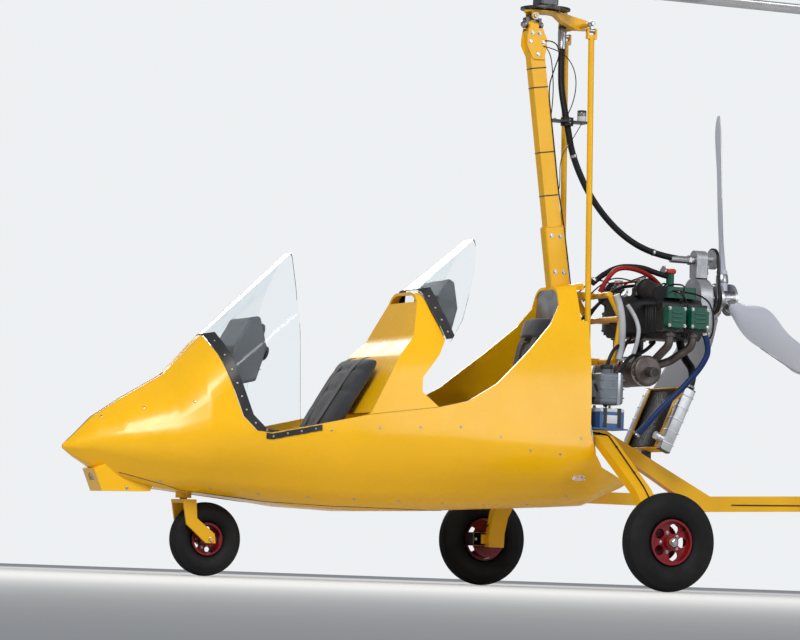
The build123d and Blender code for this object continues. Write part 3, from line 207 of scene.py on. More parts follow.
mats = {
    "body": painted("body_paint", (0.86, 0.46, 0.003), 0.22, 0.36, coat=0.22, dirt=0.93),
    "frame": painted("frame_paint", (0.8, 0.42, 0.004), 0.3, 0.46, coat=0.1, peel=0.12, dirt=0.85),
    "strip": plastic("strip_black", (0.016, 0.016, 0.018), 0.3, 0.45, 1200.0, 0.12),
    "screen": clear("screen_acrylic", (0.93, 0.965, 0.975)),
    "pod": plastic("pod_grey", (0.085, 0.092, 0.105), 0.38, 0.52),
    "cloth": woven("seat_cloth", (0.016, 0.018, 0.026), 0.0016),
    "belt": woven("belt_webbing", (0.02, 0.02, 0.022), 0.0022),
    "alu": metal("bare_alloy", (0.5, 0.505, 0.52), 0.28, 0.42),
    "bright": metal("bright_steel", (0.46, 0.46, 0.47), 0.24, 0.4),
    "steel": metal("dark_steel", (0.12, 0.12, 0.125), 0.32, 0.48),
    "black_metal": painted("black_metal", (0.02, 0.02, 0.022), 0.32, 0.48, coat=0.1, dirt=0.7),
    "tyre": rubber("tyre_rubber", (0.006, 0.006, 0.0065), 0.6, 0.85),
    "rim": painted("rim_red", (0.2, 0.003, 0.007), 0.28, 0.42),
    "engine": cast("engine_cast", (0.03, 0.03, 0.032), 0.3),
    "cover": painted("cover_green", (0.003, 0.075, 0.045), 0.28, 0.42, peel=0.2),
    "gear_case": cast("gear_case", (0.52, 0.53, 0.55), 0.85),
    # The blades' white is darkened to a blue grey: painted shade in the colour
    "blade": painted("blade_white", (0.48, 0.505, 0.58), 0.28, 0.42, dirt=0.94),
    "rotor_blade": metal("rotor_alloy", (0.71, 0.72, 0.74), 0.25, 0.4, (12, 1, 1), 30.0),
    "pipe": cast("burnt_steel", (0.16, 0.14, 0.13), 0.9),
    "hose": rubber("black_hose", (0.007, 0.007, 0.0075), 0.35, 0.55),
    "blue_hose": rubber("blue_hose", (0.005, 0.02, 0.085)),
    "red_hose": rubber("red_hose", (0.2, 0.006, 0.005)),
    "white_hose": rubber("white_hose", (0.3, 0.31, 0.33)),
    "tank": plastic("tank_grey", (0.13, 0.15, 0.18), 0.25, 0.4),
    "battery": plastic("battery_blue", (0.03, 0.09, 0.25), 0.3, 0.45),
    "pale": plastic("pale_plastic", (0.5, 0.52, 0.54), 0.3, 0.42),
    "lens": lamp_glass("lamp_lens", (0.95, 0.96, 0.98)),
    "red_lens": lamp_glass("red_lens", (0.75, 0.02, 0.02)),
    "fire": cast("firewall_sheet", (0.45, 0.46, 0.48), 0.8),
    "red_plastic": plastic("red_plastic", (0.42, 0.02, 0.015), 0.3, 0.4),
    "inner": plastic("inner_black", (0.02, 0.02, 0.022), 0.5, 0.7),
    "foil": metal("side_tank", (0.62, 0.63, 0.64), 0.3, 0.5),
}


def sorted_out(groups):
    """Each name in the groups' lists, with the group that it is in."""
    return {name: group for group, names in groups.items() for name in names.split()}


NODE_MATERIAL = sorted_out({
    "body": "fuselage_right fuselage_left nose_tip chin_housing seat_back_cowl stabiliser fin rudder",
    "frame": "keel_boom mast mast_head torque_bar push_rod_left push_rod_right gear_leg_left gear_leg_right"
             " nose_fork engine_mount",
    "lens": "landing_light position_lights", "fire": "firewall", "screen": "windscreens",
    "strip": "screen_strips", "pod": "instrument_pods", "cloth": "seats", "steel": "gimbal_block rotor_hub",
    "black_metal": "control_sticks radiator mast_bracket", "alu": "hub_bar propeller_hub",
    "rotor_blade": "rotor_blades", "bright": "rod_end_left rod_end_right",
    "tyre": "main_tyre_left main_tyre_right nose_tyre", "rim": "main_rim_left main_rim_right nose_rim",
    "engine": "engine_block", "cover": "rocker_covers ignition_box", "gear_case": "gearbox prerotator_drive",
    "blade": "propeller_blades", "inner": "air_filters", "pipe": "exhaust",
    "hose": "coolant_hoses flex_shaft", "tank": "oil_tank", "battery": "battery",
})
for name, node in nodes.items():
    node.data.materials.clear()
    node.data.materials.append(mats[NODE_MATERIAL[name]])
    for polygon in node.data.polygons:
        polygon.use_smooth = True
    weld = node.modifiers.new("weld", "WELD")
    weld.merge_threshold = 0.00002
    split = node.modifiers.new("split", "EDGE_SPLIT")
    split.split_angle = math.radians(28)
    weighted = node.modifiers.new("weighted", "WEIGHTED_NORMAL")
    weighted.keep_sharp = True

# Stage: camera, floor, world and lights. The photo's width in pixels over its scale gives the view's width

PHOTO_PIXELS, PIXELS_PER_METRE = 800, 243.0
VIEW_WIDTH = PHOTO_PIXELS / PIXELS_PER_METRE
MODEL_CENTRE = Vector((-0.622, 0.0, 1.079))
CAMERA_DISTANCE = 17.0
CAMERA_HEIGHT = 0.03
VIEW_AZIMUTH = math.radians(24.8)
VIEW_ROLL = math.radians(2.0)
SENSOR_WIDTH = 36.0
FLOOR_SIZE = 60.0


def link_object(name, data):
    made = bpy.data.objects.new(name, data)
    bpy.context.scene.collection.objects.link(made)
    return made


camera_data = bpy.data.cameras.new("camera")
camera = link_object("camera", camera_data)
bpy.context.scene.camera = camera
level = math.sqrt(CAMERA_DISTANCE ** 2 - (MODEL_CENTRE.z - CAMERA_HEIGHT) ** 2)
camera.location = (
    MODEL_CENTRE.x - level * math.sin(VIEW_AZIMUTH),
    MODEL_CENTRE.y - level * math.cos(VIEW_AZIMUTH),
    CAMERA_HEIGHT,
)
aim = (MODEL_CENTRE - camera.location).to_track_quat("-Z", "Y").to_matrix()
camera.rotation_euler = (aim @ Matrix.Rotation(VIEW_ROLL, 3, "Z")).to_euler()
camera_data.sensor_width = SENSOR_WIDTH
camera_data.lens = SENSOR_WIDTH * CAMERA_DISTANCE / VIEW_WIDTH
camera_data.clip_start = 0.1
camera_data.clip_end = 300.0

corners = [(x * FLOOR_SIZE, y * FLOOR_SIZE, 0) for x, y in ((-1, -1), (1, -1), (1, 1), (-1, 1))]
floor_mesh = bpy.data.meshes.new("floor")
floor_mesh.from_pydata(corners, [], [(0, 1, 2, 3)])
floor = link_object("floor", floor_mesh)
floor_shader = Shader("floor", Roughness=0.9)
floor_shader.color(floor_shader.noise(0.8, 3), (0.3, (0.6, 0.6, 0.6)), (0.8, (0.64, 0.64, 0.64)))
floor_mesh.materials.append(floor_shader.mat)

# The camera sees a pale background, also through the screens, and reflections see a dim one
world = bpy.data.worlds.new("world")
bpy.context.scene.world = world
world.use_nodes = True
tree = world.node_tree
dim = tree.nodes["Background"]
seen = tree.nodes.new("ShaderNodeBackground")
for background, color, strength in ((dim, (0.82, 0.86, 0.92, 1), 0.42), (seen, (0.9, 0.92, 0.94, 1), 0.95)):
    background.inputs["Color"].default_value = color
    background.inputs["Strength"].default_value = strength
ray = tree.nodes.new("ShaderNodeLightPath")
either = tree.nodes.new("ShaderNodeMath")
either.operation = "MAXIMUM"
mix = tree.nodes.new("ShaderNodeMixShader")
for source, target in (
    (ray.outputs["Is Camera Ray"], either.inputs[0]), (ray.outputs["Is Transmission Ray"], either.inputs[1]),
    (either.outputs["Value"], mix.inputs["Fac"]), (dim.outputs["Background"], mix.inputs[1]),
    (seen.outputs["Background"], mix.inputs[2]),
    (mix.outputs["Shader"], tree.nodes["World Output"].inputs["Surface"]),
):
    tree.links.new(source, target)


def area_light(name, spot, target, size, power, color=(1, 1, 1)):
    data = bpy.data.lights.new(name, "AREA")
    data.shape = "RECTANGLE"
    data.size, data.size_y = size
    data.energy = power
    data.color = color
    light = link_object(name, data)
    light.location = spot
    light.rotation_euler = (Vector(target) - Vector(spot)).to_track_quat("-Z", "Y").to_euler()


area_light("key", (-5.5, -7.0, 8.0), (-0.6, 0, 1.0), (4, 4), 900, (1.0, 0.97, 0.93))
area_light("fill", (5.0, -8.0, 4.0), (0.2, 0, 1.0), (5, 4), 220, (0.94, 0.97, 1.0))
area_light("back", (2.0, 9.0, 6.0), (0, 0, 1.2), (6, 3), 380)
bpy.context.scene.view_settings.view_transform = "Standard"

# Helpers that build pieces

def add_piece(mesh, name, mat, body):
    """A mesh becomes a smooth piece with a material, riding on a body."""
    for polygon in mesh.polygons:
        polygon.use_smooth = True
    mesh.materials.clear()
    mesh.materials.append(mats[mat])
    piece = link_object(name, mesh)
    if body:
        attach(piece, body)
    return piece


def place(bm, name, mat, body="airframe", smooth=32):
    """A bmesh becomes a piece, with its edges sharp where faces meet at more than smooth degrees."""
    bmesh.ops.recalc_face_normals(bm, faces=bm.faces)
    for edge in bm.edges:
        if len(edge.link_faces) == 2:
            edge.smooth = edge.calc_face_angle(0.0) < math.radians(smooth)
    mesh = bpy.data.meshes.new(name)
    bm.to_mesh(mesh)
    bm.free()
    return add_piece(mesh, name, mat, body)


def at(spot, axis):
    """The placing that moves a form drawn about +Z to a spot and turns it to an axis."""
    return Matrix.Translation(spot) @ Vector(axis).normalized().to_track_quat("Z", "X").to_matrix().to_4x4()


def around(count, start=0.0):
    """Angles spread evenly round a circle."""
    return [start + math.tau * i / count for i in range(count)]


def circle(centre, radius, angles, axis):
    """Pairs of place and axis on a circle that is square to an axis along X, Y or Z."""
    across, up = [i for i in range(3) if not axis[i]]
    places = []
    for angle in angles:
        spot = Vector(centre)
        spot[across] += radius * math.cos(angle)
        spot[up] += radius * math.sin(angle)
        places.append((spot, axis))
    return places


def both_sides(x, y, z):
    """A pair of places at y and -y that face outwards."""
    return [((x, side * y, z), (0, side, 0)) for side, _ in SIDES]


def skin(bm, rings, closed=False):
    """Faces between rings of the same count, with end caps unless the rings close on themselves."""
    for low, high in zip(rings, rings[1:] + (rings[:1] if closed else [])):
        for j in range(len(low)):
            n = (j + 1) % len(low)
            bm.faces.new((low[j], low[n], high[n], high[j]))
    if not closed:
        bm.faces.new(rings[0])
        bm.faces.new(rings[-1])


def add_turned(bm, profile, matrix, sides=24, loop=False):
    """A closed turned solid: (radius, height) points turned about Z, then moved by the matrix. Loop joins the
    last ring to the first, for a form with a hole through it."""
    rings = []
    for radius, height in profile:
        turns = around(sides) if radius > 1e-6 else [0.0]
        rings.append([
            bm.verts.new(matrix @ Vector((radius * math.cos(a), radius * math.sin(a), height))) for a in turns
        ])
    for low, high in zip(rings, rings[1:] + rings[:1] if loop else rings[1:]):
        for i in range(sides):
            j = (i + 1) % sides
            quad = (low[i % len(low)], low[j % len(low)], high[j % len(high)], high[i % len(high)])
            corners = [v for n, v in enumerate(quad) if v not in quad[:n]]
            if len(corners) > 2:
                bm.faces.new(corners)
    for ring in () if loop else (rings[0], rings[-1]):
        if len(ring) > 2:
            bm.faces.new(ring)


def turned(name, mat, profile, centre, axis, body="airframe", sides=32):
    bm = bmesh.new()
    add_turned(bm, profile, at(centre, axis), sides)
    return place(bm, name, mat, body)


def bolts(name, places, size=0.008, body="airframe", mat="bright"):
    """Chamfered hexagon heads on washers. Size is the across-corner radius."""
    washer = [(size * 1.35, -0.0005), (size * 1.35, size * 0.2), (0, size * 0.2)]
    head = [
        (size, size * 0.15), (size, size * 0.78), (size * 0.8, size * 0.92), (size * 0.5, size * 0.92),
        (size * 0.45, size * 0.84), (0, size * 0.84),
    ]
    bm = bmesh.new()
    for centre, axis in places:
        add_turned(bm, washer, at(centre, axis), 20)
        add_turned(bm, head, at(centre, axis) @ Matrix.Rotation(random.random(), 4, "Z"), 6)
    return place(bm, name, mat, body, 25)


def rivets(name, places, size, body="airframe", mat="bright", height=0.4):
    """Domed rivets or button screws."""
    dome = [
        (size, -0.001), (size, size * 0.1), (size * 0.82, size * height * 0.7), (size * 0.45, size * height),
        (0, size * height * 1.05),
    ]
    bm = bmesh.new()
    for centre, axis in places:
        add_turned(bm, dome, at(centre, axis), 14)
    return place(bm, name, mat, body, 60)


def clamps(name, places):
    """Hose clamps: a thin band with rolled edges and its screw housing."""
    bm = bmesh.new()
    for centre, axis, radius in places:
        base = at(centre, axis)
        inner, outer, half = radius * 0.9, radius + 0.0012, 0.0055
        edge, flat = outer + 0.0008, half * 0.6
        add_turned(bm, [
            (inner, -half), (edge, -half), (outer, -flat), (outer, flat), (edge, half), (inner, half),
        ], base, 28)
        housing = base @ Matrix.Translation((outer + 0.003, 0, 0)) @ Matrix.Rotation(math.pi / 2, 4, "X")
        add_turned(bm, [(0.004, -0.008), (0.0048, -0.007), (0.0048, 0.007), (0.004, 0.008)], housing, 10)
    return place(bm, name, "bright")


def add_box(bm, centre, size, turn, bevel, segments):
    """A box with rounded edges."""
    made = bmesh.ops.create_cube(bm, size=1.0)["verts"]
    basis = Matrix.Translation(centre) @ turn @ Matrix.Diagonal((*size, 1))
    bmesh.ops.transform(bm, matrix=basis, verts=made)
    if bevel:
        bmesh.ops.bevel(
            bm, geom=list({e for v in made for e in v.link_edges}), offset=min(bevel, min(size) * 0.4),
            segments=segments, affect="EDGES", profile=0.6,
        )


def boxes(name, mat, items, body="airframe", bevel=0.002, segments=2):
    """Boxes as one piece, each of a centre, a size and at will a rotation or a placing."""
    bm = bmesh.new()
    for centre, size, *turn in items:
        add_box(bm, centre, size, turn[0] if turn else Matrix.Identity(4), bevel, segments)
    return place(bm, name, mat, body)


def spline_mesh(points, resolution, radius=0.0, sides=10):
    """One smooth spline with the points as its control points, as a line or, with a radius, as a tube."""
    curve = bpy.data.curves.new("route", "CURVE")
    curve.dimensions = "3D"
    spline = curve.splines.new("NURBS")
    spline.points.add(len(points) - 1)
    for knot, point in zip(spline.points, points):
        knot.co = (*point, 1)
    spline.order_u = 3
    spline.use_endpoint_u = True
    spline.resolution_u = resolution
    if radius:
        curve.bevel_depth = radius
        curve.bevel_resolution = max(1, sides // 4)
        curve.use_fill_caps = True
    source = link_object("route", curve)
    bpy.context.view_layer.update()
    mesh = bpy.data.meshes.new_from_object(source.evaluated_get(bpy.context.evaluated_depsgraph_get()))
    bpy.data.objects.remove(source)
    return mesh


def tube(name, mat, points, radius, body="airframe", sides=8):
    return add_piece(spline_mesh(points, 10, radius, sides), name, mat, body)


def path_points(points, count):
    """Points evenly along the spline that a tube would follow."""
    line = [v.co.copy() for v in spline_mesh(points, 24).vertices]
    steps = [0.0]
    for a, b in zip(line, line[1:]):
        steps.append(steps[-1] + (b - a).length)
    found, leg = [], 0
    for i in range(count):
        want = steps[-1] * i / (count - 1)
        while leg < len(steps) - 2 and steps[leg + 1] < want:
            leg += 1
        share = (want - steps[leg]) / max(steps[leg + 1] - steps[leg], 1e-9)
        found.append(line[leg].lerp(line[leg + 1], min(1.0, share)))
    return found


def ahead_at(line, i):
    """The direction of a line of points at its point i."""
    return line[min(i + 1, len(line) - 1)] - line[max(i - 1, 0)]


RIB_PITCH = 0.01


def sweep(name, mat, line, radius, body="airframe", sides=18, wave=0.0):
    """A tube along points, its rings carried along without twist. Wave adds the ribs of a wound cover."""
    bm = bmesh.new()
    rings, across = [], Vector((0, 1, 0))
    travelled = 0.0
    for i, point in enumerate(line):
        ahead = ahead_at(line, i).normalized()
        across = (across - ahead * across.dot(ahead)).normalized()
        other = ahead.cross(across)
        if i:
            travelled += (point - line[i - 1]).length
        r = radius + wave * math.cos(math.tau * travelled / RIB_PITCH)
        rings.append([
            bm.verts.new(point + (across * math.cos(a) + other * math.sin(a)) * r) for a in around(sides)
        ])
    skin(bm, rings)
    return place(bm, name, mat, body, 60)


def cast_on(node, origin, direction, reach=2.0):
    """The first point and outward normal where a ray meets a CAD node, or None."""
    direction = Vector(direction).normalized()
    hit, point, normal, _ = nodes[node].ray_cast(Vector(origin), direction, distance=reach)
    if not hit:
        return None
    return point, -normal if normal.dot(direction) > 0 else normal


def cast_all(node, rays, reach=2.0):
    """Where rays of (origin, direction) meet a CAD node, without those that miss it."""
    found = [cast_on(node, origin, direction, reach) for origin, direction in rays]
    return [hit for hit in found if hit]


# Wheels: ribbed tyres, bolts, valves and brake discs

MAIN_AXLE = Vector((0.2, 0.85, 0.2))
NOSE_AXLE = Vector((-1.452, 0.0, 0.149))
VALVE_SPOKE = Vector((math.cos(0.7), 0, math.sin(0.7)))
WHEEL_BOLT_ANGLES = around(5, math.pi / 5)


def tyre_piece(name, node, body, centre, radius, half, bead, ribs):
    """A tyre turned round its axle, with straight ribs and grooves round the tread."""
    wall = [(0.62 * half, bead)]
    for degrees in range(-70, 46, 10):
        angle = math.radians(degrees)
        side_ring = 0.0012 if degrees in (-50, 10) else 0.0
        wall_radius = bead + (radius - bead) * (0.5 + 0.5 * math.sin(angle))
        wall.append((half * math.cos(angle) + side_ring, wall_radius))
    tread_half, shoulder = wall[-1]
    steps = ribs * 6
    tread = []
    for i in range(1, steps):
        y = tread_half * (1 - 2 * i / steps)
        crown = shoulder + (radius - 0.0006 - shoulder) * math.sqrt(max(0.0, 1 - (y / tread_half) ** 2))
        groove = 0.0045 if i % 6 in (0, 1) and 1 < i < steps - 2 else 0.0
        tread.append((y, crown - groove))
    outline = wall + tread + [(-y, r) for y, r in reversed(wall)]
    bm = bmesh.new()
    add_turned(bm, [(r, y) for y, r in outline], at(centre, (0, 1, 0)), 120, True)
    piece = place(bm, name, "tyre", body, 40)
    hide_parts(node)


for side, label in SIDES:
    centre = Vector((MAIN_AXLE.x, side * MAIN_AXLE.y, MAIN_AXLE.z))
    wheel = "main_wheel_" + label
    out = Vector((0, side, 0))
    tyre_piece("tyre_ribbed_" + label, "main_tyre_" + label, wheel, centre, 0.2, 0.05, 0.092, 7)
    bolts("wheel_bolts_" + label, circle(centre + out * 0.0125, 0.04, WHEEL_BOLT_ANGLES, out), 0.0055, wheel)
    turned(
        "valve_" + label, "hose",
        [(0.004, -0.006), (0.0042, 0.012), (0.0034, 0.014), (0.0034, 0.024), (0.0, 0.025)],
        centre + VALVE_SPOKE * 0.078 + out * 0.02, out - VALVE_SPOKE * 0.3, wheel, 14,
    )
    disc = centre - out * 0.069
    rivets("disc_screws_" + label, circle(disc, 0.032, around(6), -out), 0.0045, wheel)
    # Black dots where the brake disc's holes are: painted shade in the holes
    bm = bmesh.new()
    for spot, axis in circle(disc, 0.062, around(18), -out):
        add_turned(bm, [(0.0042, -0.0006), (0.0042, 0.0004), (0, 0.0004)], at(spot, axis), 12)
    place(bm, "disc_holes_" + label, "inner", wheel)
    bolts("axle_nut_" + label, [(centre + out * 0.0475, out)], 0.013)
tyre_piece("tyre_ribbed_nose", "nose_tyre", "nose_wheel", NOSE_AXLE, 0.149, 0.0435, 0.066, 5)
for (side, label), face_y in zip(SIDES, (0.0055, 0.0125)):
    face = NOSE_AXLE + Vector((0, face_y, 0))
    face_bolts = circle(face, 0.034, WHEEL_BOLT_ANGLES, (0, side, 0))
    bolts("nose_wheel_bolts_" + label, face_bolts, 0.0045, "nose_wheel")

# Seats: padded cushions, pans and belts


def cushion(name, stations, width, thick, crown, pinch, channels, cut=40):
    """A stuffed pad along a side line of (x, z, normal) stations, pulled in at its edges and seams."""
    across = 22
    rows = []
    bm = bmesh.new()
    for i in range(cut + 1):
        along = i / cut
        t = along * (len(stations) - 1)
        k = min(int(t), len(stations) - 2)
        x, z, nx, nz = (a + (b - a) * (t - k) for a, b in zip(stations[k], stations[k + 1]))
        size = math.hypot(nx, nz)
        end_fall = 1 - (2 * along - 1) ** 8
        half = width / 2 * (1 - 0.05 * (1 - end_fall)) * (1 - 0.012 * math.sin(along * math.pi) ** 2)
        row = []
        for j in range(2 * across):
            face_up = j < across
            sideways = (j % across) / (across - 1) * 2 - 1
            if not face_up:
                sideways = -sideways
            edge = max(0.0, 1 - abs(sideways) ** 6)
            puff = crown * (1 - sideways * sideways) * end_fall
            for channel in channels:
                puff -= pinch * math.exp(-((along - channel) / 0.018) ** 2) * edge
            height = thick / 2 + max(puff, -thick * 0.2) if face_up else -thick / 2
            height *= edge ** 0.5 * (0.25 + 0.75 * end_fall ** 0.5)
            row.append(bm.verts.new((x + nx / size * height, sideways * half, z + nz / size * height)))
        rows.append(row)
    skin(bm, rows)
    bmesh.ops.remove_doubles(bm, verts=bm.verts, dist=0.0004)
    piece = place(bm, name, "cloth", "airframe", 60)
    wrinkle = bpy.data.textures.new(name + "_wrinkle", "CLOUDS")
    wrinkle.noise_scale = 0.09
    subdivide = piece.modifiers.new("subdivide", "SUBSURF")
    subdivide.levels = subdivide.render_levels = 1
    shape = piece.modifiers.new("wrinkle", "DISPLACE")
    shape.texture = wrinkle
    shape.texture_coords = "LOCAL"
    shape.strength = 0.006
    return piece


front_base = cushion(
    "front_seat_base",
    [(-1.39, 0.462, -0.15, 1), (-1.335, 0.468, 0, 1), (-1.2, 0.452, 0.05, 1), (-1.07, 0.436, 0.12, 1)],
    0.36, 0.05, 0.016, 0.01, (0.35, 0.68),
)
cushion(
    "front_seat_back",
    [(-1.058, 0.472, -0.85, 0.52), (-0.963, 0.627, -0.85, 0.53), (-0.873, 0.777, -0.84, 0.52),
     (-0.793, 0.902, -0.83, 0.55)],
    0.36, 0.05, 0.02, 0.01, (0.3, 0.62, 0.84),
)
cushion(
    "rear_seat_base",
    [(-0.49, 0.488, -0.15, 1), (-0.43, 0.497, 0, 1), (-0.26, 0.475, 0.1, 1), (-0.09, 0.455, 0.15, 1)],
    0.28, 0.05, 0.016, 0.01, (0.35, 0.68),
)
cushion(
    "rear_seat_back",
    [(-0.052, 0.49, -0.99, 0.13), (-0.03, 0.67, -0.99, 0.13), (-0.005, 0.86, -0.99, 0.13),
     (0.018, 1.03, -0.99, 0.13)],
    0.28, 0.06, 0.02, 0.01, (0.3, 0.62),
)
cushion(
    "rear_head_rest", [(0.008, 1.03, -0.98, 0.2), (0.02, 1.075, -0.97, 0.25), (0.035, 1.11, -0.9, 0.45)],
    0.25, 0.06, 0.02, 0.0, (), 24,
)
boxes("seat_pans", "inner", [
    ((-1.19, 0, 0.424), (0.40, 0.34, 0.026), Matrix.Rotation(0.03, 4, "Y")),
    ((-0.27, 0, 0.432), (0.44, 0.26, 0.04), Matrix.Rotation(0.08, 4, "Y")),
], bevel=0.008)
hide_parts("seats")


STRAP_THICKNESS = 0.0016


def strap(name, points, width, up):
    """A flat webbing strap along points, with its width kept across the up direction."""
    line = path_points(points, 36)
    bm = bmesh.new()
    rings = []
    for i, point in enumerate(line):
        ahead = ahead_at(line, i)
        side = ahead.cross(Vector(up)).normalized() * width / 2
        lift = side.cross(ahead).normalized() * STRAP_THICKNESS / 2
        ring = (side + lift, lift * 1.3, lift - side, -side - lift, -lift * 1.3, side - lift)
        rings.append([bm.verts.new(point + offset) for offset in ring])
    skin(bm, rings)
    place(bm, name, "belt", "airframe", 40)


BELTS = (
    ("rear_lap_belt_", 0.045, (0, 0, 1), (
        (-0.075, 0.137, 0.525), (-0.12, 0.142, 0.55), (-0.2, 0.12, 0.55), (-0.24, 0.06, 0.55),
        (-0.25, 0.012, 0.55),
    )),
    ("rear_shoulder_belt_", 0.042, (-1, 0, 0.1), (
        (0.03, 0.055, 1.1), (-0.03, 0.055, 1.06), (-0.065, 0.055, 0.9), (-0.085, 0.05, 0.72),
        (-0.11, 0.03, 0.59), (-0.2, 0.012, 0.552),
    )),
    ("front_lap_belt_", 0.045, (0, 0, 1), (
        (-1.07, 0.172, 0.505), (-1.1, 0.165, 0.52), (-1.17, 0.12, 0.517), (-1.21, 0.05, 0.513),
        (-1.22, 0.012, 0.513),
    )),
    ("front_shoulder_belt_", 0.042, (-0.84, 0, 0.54), (
        (-0.79, 0.07, 0.915), (-0.84, 0.07, 0.905), (-0.93, 0.07, 0.77), (-1.02, 0.06, 0.62),
        (-1.09, 0.035, 0.53), (-1.17, 0.012, 0.514),
    )),
)
for side, label in SIDES:
    for name, width, up, route in BELTS:
        strap(name + label, [(x, side * y, z) for x, y, z in route], width, up)
boxes("belt_buckles", "bright", [
    (spot, (0.05, 0.06, 0.016)) for spot in ((-0.235, 0, 0.556), (-1.205, 0, 0.519))
], bevel=0.005)
boxes("belt_releases", "red_plastic", [
    (spot, (0.022, 0.036, 0.008)) for spot in ((-0.235, 0, 0.567), (-1.205, 0, 0.53))
])

# Dials and switches on the front pod's face, which leans back by 34 mm over 127

POD_FACE_X, POD_FACE_Z, POD_LEAN = -1.256, 0.925, 34 / 127.0
POD_FACE_AXIS = (0.965, 0, -0.26)
DIALS = (
    (-0.062, 0.985, 0.036), (0.0, 0.992, 0.028), (0.062, 0.985, 0.036),
    (-0.07, 0.905, 0.026), (0.0, 0.915, 0.03), (0.07, 0.905, 0.026),
)
MARKS = 24
OPEN_MARKS = (17, 18, 19)


def dial(name, centre, radius):
    rim = radius * 1.12
    turned(
        name + "_bezel", "inner",
        [(rim, -0.004), (rim, 0.004), (radius * 1.02, 0.006), (radius, 0.003), (0, 0.0028)],
        centre, POD_FACE_AXIS, "airframe", 36,
    )
    face = at(centre, POD_FACE_AXIS)
    marks = []
    for i, angle in enumerate(around(MARKS)):
        if i in OPEN_MARKS:
            continue
        long = radius * (0.2 if i % 3 == 0 else 0.11)
        spot = Matrix.Rotation(angle, 4, "Z") @ Matrix.Translation((radius * 0.93 - long / 2, 0, 0.0032))
        marks.append((ORIGIN, (long, 0.0011, 0.0006), face @ spot))
    needle = Matrix.Rotation(0.9, 4, "Z") @ Matrix.Translation((radius * 0.28, 0, 0.004))
    marks.append((ORIGIN, (radius * 0.75, 0.0016, 0.0008), face @ needle))
    boxes(name + "_marks", "pale", marks, bevel=0)


for i, (y, z, radius) in enumerate(DIALS):
    dial(f"dial_{i}", (POD_FACE_X - (z - POD_FACE_Z) * POD_LEAN, y, z), radius)
boxes("panel_switches", "alu", [
    ((-1.2748, y, 0.84), (0.02, 0.006, 0.006)) for y in (-0.07, -0.04, -0.01, 0.02, 0.05, 0.08)
], bevel=0.001)

# Engine: fins, covers, plugs, leads, carburettors, filters and fuel lines

CYLINDER_XS = (0.512, 0.621)
CYLINDER_Z = 1.145
CRANK_Z = 1.15
PROP_Z = 1.253
GEARBOX_FACE_X = 0.8065
COVER_Y = 0.298
PLUG_CAP = (
    (0.0085, -0.018), (0.0095, -0.016), (0.0095, 0.012), (0.0075, 0.018), (0.0075, 0.034), (0.0, 0.036),
)

for side, label in SIDES:
    out = Vector((0, side, 0))
    boxes("cooling_fins_" + label, "engine", [
        (ORIGIN, (0.104, 0.104, 0.0028), at((x, side * (0.104 + k * 0.0115), CYLINDER_Z), out))
        for x in CYLINDER_XS for k in range(9)
    ], bevel=0.0012, segments=1)
    bolts("cover_bolts_" + label, [
        ((x + dx, side * COVER_Y, CYLINDER_Z + dz), out)
        for x in CYLINDER_XS for dz in (0.036, -0.036) for dx in (-0.036, 0.036)
    ], 0.0055)
    for n, x in enumerate(CYLINDER_XS):
        boxes(f"cover_rib_{label}_{n}", "cover", [
            ((x, side * (COVER_Y + 0.0012), CYLINDER_Z + dz), (0.05, 0.004, 0.007))
            for dz in (-0.018, 0.0, 0.018)
        ], bevel=0.0015)
        # The upper plug sits behind its cylinder, the lower one ahead of it
        for plug, up in enumerate((1, -1)):
            spot = Vector((x - 0.052 * up, side * 0.232, CYLINDER_Z + 0.046 * up))
            turned(
                f"plug_cap_{label}_{n}_{plug}", "hose", PLUG_CAP, spot,
                (-0.3 * up, side * 0.25, 0.9 * up), sides=18,
            )
            end = spot + Vector((0, side * 0.008, 0.03 * up))
            if up > 0:
                route = [
                    end, end + Vector((-0.005, side * 0.012, 0.04)), (x - 0.01, side * 0.17, 1.292),
                    (0.575, side * 0.09, 1.296),
                ]
            else:
                route = [
                    end, end + Vector((0.02, side * 0.03, -0.02)),
                    (x + 0.075, side * 0.285, CYLINDER_Z + 0.02),
                    (x + 0.06, side * 0.235, CYLINDER_Z + 0.1), (0.6, side * 0.11, 1.27),
                ]
            route.append((0.56 + 0.012 * n + 0.02 * plug, side * 0.035, 1.272))
            tube(f"lead_{label}_{n}_{plug}", "hose", route, 0.0038)
    bowl = Vector((0.442, side * 0.102, 1.274))
    turned("carburettor_" + label, "gear_case", [
        (0.0, -0.032), (0.019, -0.032), (0.021, -0.03), (0.021, -0.01), (0.0245, -0.008), (0.0245, 0.012),
        (0.018, 0.016), (0.018, 0.038), (0.0, 0.04),
    ], bowl, UP)
    filter_axis = Vector((0.1, side * 0.97, -0.2))
    clamps("filter_clamp_" + label, [((0.4425, side * 0.1275, 1.2685), filter_axis, 0.0222)])
    filter_base = at((0.442, side * 0.138, 1.266), filter_axis)
    pleats = []
    for angle in around(40):
        low = filter_base @ Vector((0.0402 * math.cos(angle), 0.0402 * math.sin(angle), 0.01))
        high = filter_base @ Vector((0.0305 * math.cos(angle), 0.0305 * math.sin(angle), 0.1))
        pleats.append((ORIGIN, (0.0028, 0.0028, (high - low).length), at((low + high) / 2, high - low)))
    boxes("filter_pleats_" + label, "inner", pleats, bevel=0.0008, segments=1)
    for n, (height, radius) in enumerate(((0.002, 0.0425), (0.108, 0.0315))):
        turned(
            f"filter_end_{label}_{n}", "hose",
            [(radius * 0.7, -0.007), (radius, -0.006), (radius + 0.0015, 0), (radius, 0.006),
             (radius * 0.7, 0.007), (0, 0.0075)],
            filter_base @ Vector((0, 0, height)), filter_axis,
        )
    tube("fuel_line_" + label, "red_hose", [
        (0.462, side * 0.11, 1.282), (0.492, side * 0.12, 1.312), (0.5, side * 0.03, 1.315),
        (0.45, side * 0.008, 1.3), (0.37, 0, 1.29),
    ], 0.0045)

